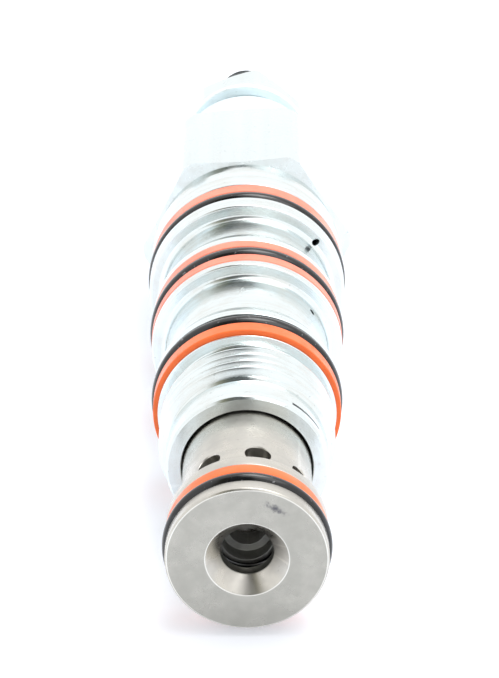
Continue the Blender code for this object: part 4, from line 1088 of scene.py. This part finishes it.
class VALVE_OT_springs(Operator):
    """Make the relief spring in two lengths, its first two turns and the rest"""

    bl_idname = "valve.springs"
    bl_label = "Relief spring"

    def execute(self, context):
        low, high = front("main_spring"), rear("main_spring")
        wire, turns, split = 0.95 * MM, 6.0, 2.0
        radius = reach("main_spring") - wire
        ends = coil(low, high, radius, wire, turns, first=0.0, last=split)
        made = piece("relief_spring_front", [ends], ["main_spring"], None, "spring_steel", LOOKS["spring"])
        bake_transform(made)
        ends = coil(low, high, radius, wire, turns, first=split, last=turns)
        made = piece("relief_spring_rear", [ends], ["main_spring"], None, "spring_steel", LOOKS["spring"])
        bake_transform(made)
        return {"FINISHED"}


class VALVE_OT_adjuster(Operator):
    """Make the adjuster's bush, screw, washer and lock nut"""

    bl_idname = "valve.adjuster"
    bl_label = "Adjuster"

    def execute(self, context):
        size, hexagon = context.scene.valve_adjuster, context.scene.valve_hexagon
        self.make_bush(size, hexagon)
        self.make_screw(size)
        self.make_washer(size)
        self.make_nut(size)
        return {"FINISHED"}

    def make_bush(self, size, hexagon):
        """The bush: a collar behind the hexagon, a neck, and a bore stepped for the screw."""
        start, end = front("adjuster_bush"), rear("adjuster_bush")
        outer = hexagon.rear_bore - 0.25 * MM
        groove_start, groove_end = groove_of("adjuster_bush_o_ring", "adjuster_bush_o_ring")
        groove = outer - (groove_end - groove_start - 2 * REST_GAP) - REST_GAP
        collar = rear("valve_body") + REST_GAP
        collar_end = collar + size.collar_length
        stop = front("adjuster_bush") + 3.8 * MM
        seal_end = stop + 8.7 * MM
        flange = size.flange_radius + REST_GAP
        edge = 0.12 * MM
        corners = [
            (start, flange, edge),
            (start, outer - 0.3 * MM, edge),
            (start + 0.3 * MM, outer, edge),
            (groove_start, outer, edge),
            (groove_start, groove, edge),
            (groove_end, groove, edge),
            (groove_end, outer, edge),
            (collar, outer, edge),
            (collar, size.collar_radius, 2 * edge),
            (collar_end - size.edge, size.collar_radius, edge),
            (collar_end, size.collar_radius - size.edge, edge),
            (collar_end, size.neck_radius, 2 * edge),
            (end, size.neck_radius, 3 * edge),
            (end, size.thread_radius + PLAY + 0.5 * MM, edge),
            (end - 0.5 * MM, size.thread_radius + PLAY, edge),
            (seal_end, size.thread_radius + PLAY, edge),
            (seal_end, size.seal_bore, edge),
            (stop, size.seal_bore, edge),
            (stop, flange, edge),
        ]
        sheet = turned(corners, COLUMNS)
        # The bush takes the rougher zinc whose lighter colour is painted light.
        piece("adjuster_bush_turned", [sheet], ["adjuster_bush"], "cartridge", "zinc_plate", LOOKS["tumbled"])

    def make_screw(self, size):
        """The screw: tip, flange, barrel with its seal groove, threaded length and hexagon socket."""
        start, end = front("adjusting_screw"), rear("adjusting_screw")
        tip, barrel = 2.0 * MM, size.seal_bore - REST_GAP
        flange_start, flange_end = start + 1.8 * MM, start + 3.8 * MM
        groove_start, groove_end = groove_of("adjusting_screw_o_ring", "adjusting_screw_o_ring")
        groove = reach("adjusting_screw_o_ring") - (groove_end - groove_start - 2 * REST_GAP) - REST_GAP
        thread_start = flange_end + 8.5 * MM
        depth = size.thread_pitch * sqrt(3) / 2 * 5 / 8 * 17 / 15
        root = size.thread_radius - depth
        point = 0.7 * MM
        helix, _ = thread_sheet(
            -end, -thread_start - 0.8 * MM, size.thread_radius, size.thread_pitch, point, SMALL_COLUMNS, 0.0
        )
        helix[..., 1] *= -1.0
        helix[..., 0] *= -1.0
        edge = 0.12 * MM
        corners = [
            (start, 0.0, 0.0),
            (start, tip - 0.3 * MM, edge),
            (start + 0.3 * MM, tip, edge),
            (flange_start, tip, edge),
            (flange_start, size.flange_radius, edge),
            (flange_end, size.flange_radius, edge),
            (flange_end, barrel, edge),
            (groove_start, barrel, edge),
            (groove_start, groove, edge),
            (groove_end, groove, edge),
            (groove_end, barrel, edge),
            (thread_start, barrel, edge),
            (thread_start, root, edge),
            (thread_start + 0.8 * MM, root, 0.0),
        ]
        shank = turned(corners, SMALL_COLUMNS, 0.0, False)
        angle = angles(SMALL_COLUMNS)[None]
        wide = hex_radius(angle, size.socket, 0.0)
        lip = size.socket / sqrt(3) + 0.12 * MM
        rim = angle * 0 + root
        floor = end - size.socket_depth
        radii = np.concatenate([rim, angle * 0 + lip, wide, wide, angle * 0])
        level = angle * 0
        places = [level + end, level + end, end - (lip - wide), level + floor, level + floor - 0.8 * MM]
        socket = about_axis(radii, np.concatenate(places), angle)
        sheets = [shank, helix, socket]
        piece("adjusting_screw_cut", sheets, ["adjusting_screw"], "screw", "black_oxide", LOOKS["oxide"])

    def make_washer(self, size):
        """The washer: a rounded flat ring."""
        inner = size.thread_radius + PLAY
        sheet = flat_ring(front("lock_washer"), rear("lock_washer"), reach("lock_washer"), inner, 0.25 * MM)
        # The washer takes the rougher zinc whose lighter colour is painted light.
        piece("lock_washer_pressed", [sheet], ["lock_washer"], "washer", "zinc_plate", LOOKS["tumbled"])

    def make_nut(self, size):
        """The nut: hexagon flats cut by a 30 degree chamfer cone at each end, round a plain bore."""
        start, end = front("lock_nut"), rear("lock_nut")
        columns = 144
        angle = angles(columns, -size.nut_turn)[None]
        corner = size.nut_flats / sqrt(3)
        wide = np.minimum(hex_radius(angle, size.nut_flats, size.nut_turn), corner - 0.05 * MM)
        face = size.nut_flats / 2 * 0.96
        scallop = (wide - face) * tan(radians(30.0))
        bore = size.thread_radius + PLAY
        lead = 0.5 * MM
        flat = angle * 0
        rows = [
            (flat + bore, flat + start + lead),
            (flat + bore + lead, flat + start),
            (flat + face, flat + start),
            (wide, start + scallop),
            (wide, end - scallop),
            (flat + face, flat + end),
            (flat + bore + lead, flat + end),
            (flat + bore, flat + end - lead),
            (flat + bore, flat + start + lead),
        ]
        radii = np.concatenate([radius for radius, _ in rows])
        places = np.concatenate([place for _, place in rows])
        sheet = about_axis(radii, places, angle)
        piece("lock_nut_milled", [sheet], ["lock_nut"], "nut", "zinc_plate", LOOKS["flats"])


class VALVE_OT_inside(Operator):
    """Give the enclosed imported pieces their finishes"""

    bl_idname = "valve.inside"
    bl_label = "Enclosed pieces"

    def execute(self, context):
        finishes = {
            "steel": ("guide_bush",),
            "ground": ("lower_spring_seat", "upper_spring_seat"),
            "spring": ("guide_bush_retaining_ring",),
            "rubber": (
                "guide_bush_front_o_ring", "guide_bush_rear_o_ring", "adjuster_bush_o_ring",
                "adjusting_screw_o_ring",
            ),
        }
        for look, names in finishes.items():
            for name in names:
                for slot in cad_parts[name].material_slots:
                    slot.material = LOOKS[look]
        return {"FINISHED"}


# Stage


def room_light(strength):
    """A white room with the dark shape of someone who leans over the valve from the front, left of its axis."""
    world = bpy.data.worlds.new("studio")
    world.use_nodes = True
    tree = world.node_tree
    tree.nodes.clear()
    way = node(tree, "ShaderNodeTexCoord").outputs["Generated"]
    split = node(tree, "ShaderNodeSeparateXYZ", None, {0: way})
    left = ranged(tree, split.outputs["X"], -0.62, -0.40)
    right = ranged(tree, split.outputs["X"], 0.04, 0.20, 1.0, 0.0)
    high = ranged(tree, split.outputs["Z"], 0.35, 0.50)
    ahead = ranged(tree, split.outputs["Y"], -0.05, 0.18, 1.0, 0.0)
    figure = reckon(tree, "MULTIPLY", reckon(tree, "MULTIPLY", left, right), reckon(tree, "MULTIPLY", high, ahead))
    edge = ranged(tree, split.outputs["X"], -0.45, -0.22, 1.0, 0.0)
    shade = mixed(tree, edge, (0.085, 0.09, 0.09, 1.0), (0.20, 0.19, 0.11, 1.0))
    colour = mixed(tree, figure, (1.0, 1.0, 1.0, 1.0), shade)
    light = node(tree, "ShaderNodeBackground", None, {"Color": colour, "Strength": strength})
    result = node(tree, "ShaderNodeOutputWorld")
    tree.links.new(light.outputs[0], result.inputs[0])
    return world


def softbox(name, place, target, width, power):
    """A square area light that faces a target."""
    light = bpy.data.lights.new(name, "AREA")
    light.size = width
    light.energy = power
    lamp = bpy.data.objects.new(name, light)
    bpy.context.collection.objects.link(lamp)
    lamp.location = place
    lamp.rotation_euler = (Vector(target) - Vector(place)).to_track_quat("-Z", "Y").to_euler()


def floor_material(colour):
    """Pale matt floor with a faint cloud in its tone and grain."""
    material, tree, shader = shader_of("floor", 0.0, 0.85, Specular_IOR_Level=0.2, Emission_Strength=0.4)
    shader.inputs["Emission Color"].default_value = opaque((0.93, 0.95, 1.0))
    place = node(tree, "ShaderNodeTexCoord").outputs["Object"]
    cloud = noise(tree, place, 6.0, 3.0)
    shade = opaque([0.985 * part for part in colour])
    tree.links.new(mixed(tree, cloud, opaque(colour), shade), shader.inputs["Base Color"])
    relief(tree, shader, noise(tree, place, 900.0, 2.0), 1e-5)
    return material


class VALVE_OT_stage(Operator):
    """Make the floor, the light and the camera"""

    bl_idname = "valve.stage"
    bl_label = "Stage"

    def execute(self, context):
        settings = context.scene.valve_stage
        low, high = "thread_seal_o_ring", "top_seal_o_ring"
        low_place, high_place = (front(low) + rear(low)) / 2, (front(high) + rear(high)) / 2
        fall = (reach(high) - reach(low)) / (high_place - low_place)
        x, y = np.meshgrid(np.linspace(-3.0, 3.0, 9), np.linspace(-3.0, 3.0, 9))
        z = -reach(low) - fall * (y - low_place)
        sheet = np.stack([x, y, z], axis=-1)
        rows, columns = x.shape
        index = np.arange(rows * columns).reshape(rows, columns)
        quads = np.stack([index[:-1, :-1], index[:-1, 1:], index[1:, 1:], index[1:, :-1]], axis=-1)
        mesh = bpy.data.meshes.new("floor")
        mesh.from_pydata(sheet.reshape(-1, 3), [], quads.reshape(-1, 4).tolist())
        mesh.materials.append(floor_material(context.scene.valve_colours.floor))
        floor = bpy.data.objects.new("floor", mesh)
        bpy.context.collection.objects.link(floor)
        context.scene.world = room_light(settings.sky)
        softbox("key", (0.18, -0.05, 0.55), (0.0, 0.02, 0.0), 0.45, settings.key)
        softbox("rear", (0.08, 0.16, 0.50), (0.0, 0.03, 0.0), 0.25, 0.9 * settings.key)
        camera = bpy.data.objects.new("camera", bpy.data.cameras.new("camera"))
        bpy.context.collection.objects.link(camera)
        camera.location = settings.camera_place
        camera.rotation_euler = (settings.camera_tilt, 0.0, -settings.camera_turn)
        camera.data.lens = settings.lens
        camera.data.clip_start = 0.01
        context.scene.camera = camera
        context.scene.view_settings.view_transform = "Standard"
        return {"FINISHED"}


STEPS = (
    VALVE_OT_finishes,
    VALVE_OT_sleeve,
    VALVE_OT_body,
    VALVE_OT_seals,
    VALVE_OT_check,
    VALVE_OT_piston,
    VALVE_OT_springs,
    VALVE_OT_adjuster,
    VALVE_OT_inside,
    VALVE_OT_stage,
)


class VALVE_PT_panel(Panel):
    """Lists the valve's pieces"""

    bl_idname = "VALVE_PT_panel"
    bl_label = "Cartridge valve"
    bl_space_type = "VIEW_3D"
    bl_region_type = "UI"
    bl_category = "Valve"

    def draw(self, context):
        for step in STEPS:
            self.layout.operator(step.bl_idname)


SETTINGS = {
    "valve_sleeve": SleeveSizes,
    "valve_body": BodySizes,
    "valve_hexagon": HexagonSizes,
    "valve_seals": SealSizes,
    "valve_adjuster": AdjusterSizes,
    "valve_colours": FinishColours,
    "valve_stage": StageSettings,
}


def register():
    for settings in SETTINGS.values():
        bpy.utils.register_class(settings)
    for step in STEPS:
        bpy.utils.register_class(step)
    bpy.utils.register_class(VALVE_PT_panel)
    for name, settings in SETTINGS.items():
        setattr(bpy.types.Scene, name, PointerProperty(type=settings))


def unregister():
    for name in SETTINGS:
        delattr(bpy.types.Scene, name)
    bpy.utils.unregister_class(VALVE_PT_panel)
    for step in STEPS:
        bpy.utils.unregister_class(step)
    for settings in SETTINGS.values():
        bpy.utils.unregister_class(settings)


def main():
    """Registers the add-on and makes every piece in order."""
    register()
    for step in STEPS:
        getattr(bpy.ops.valve, step.bl_idname.split(".")[1])()


if __name__ == "__main__":
    main()
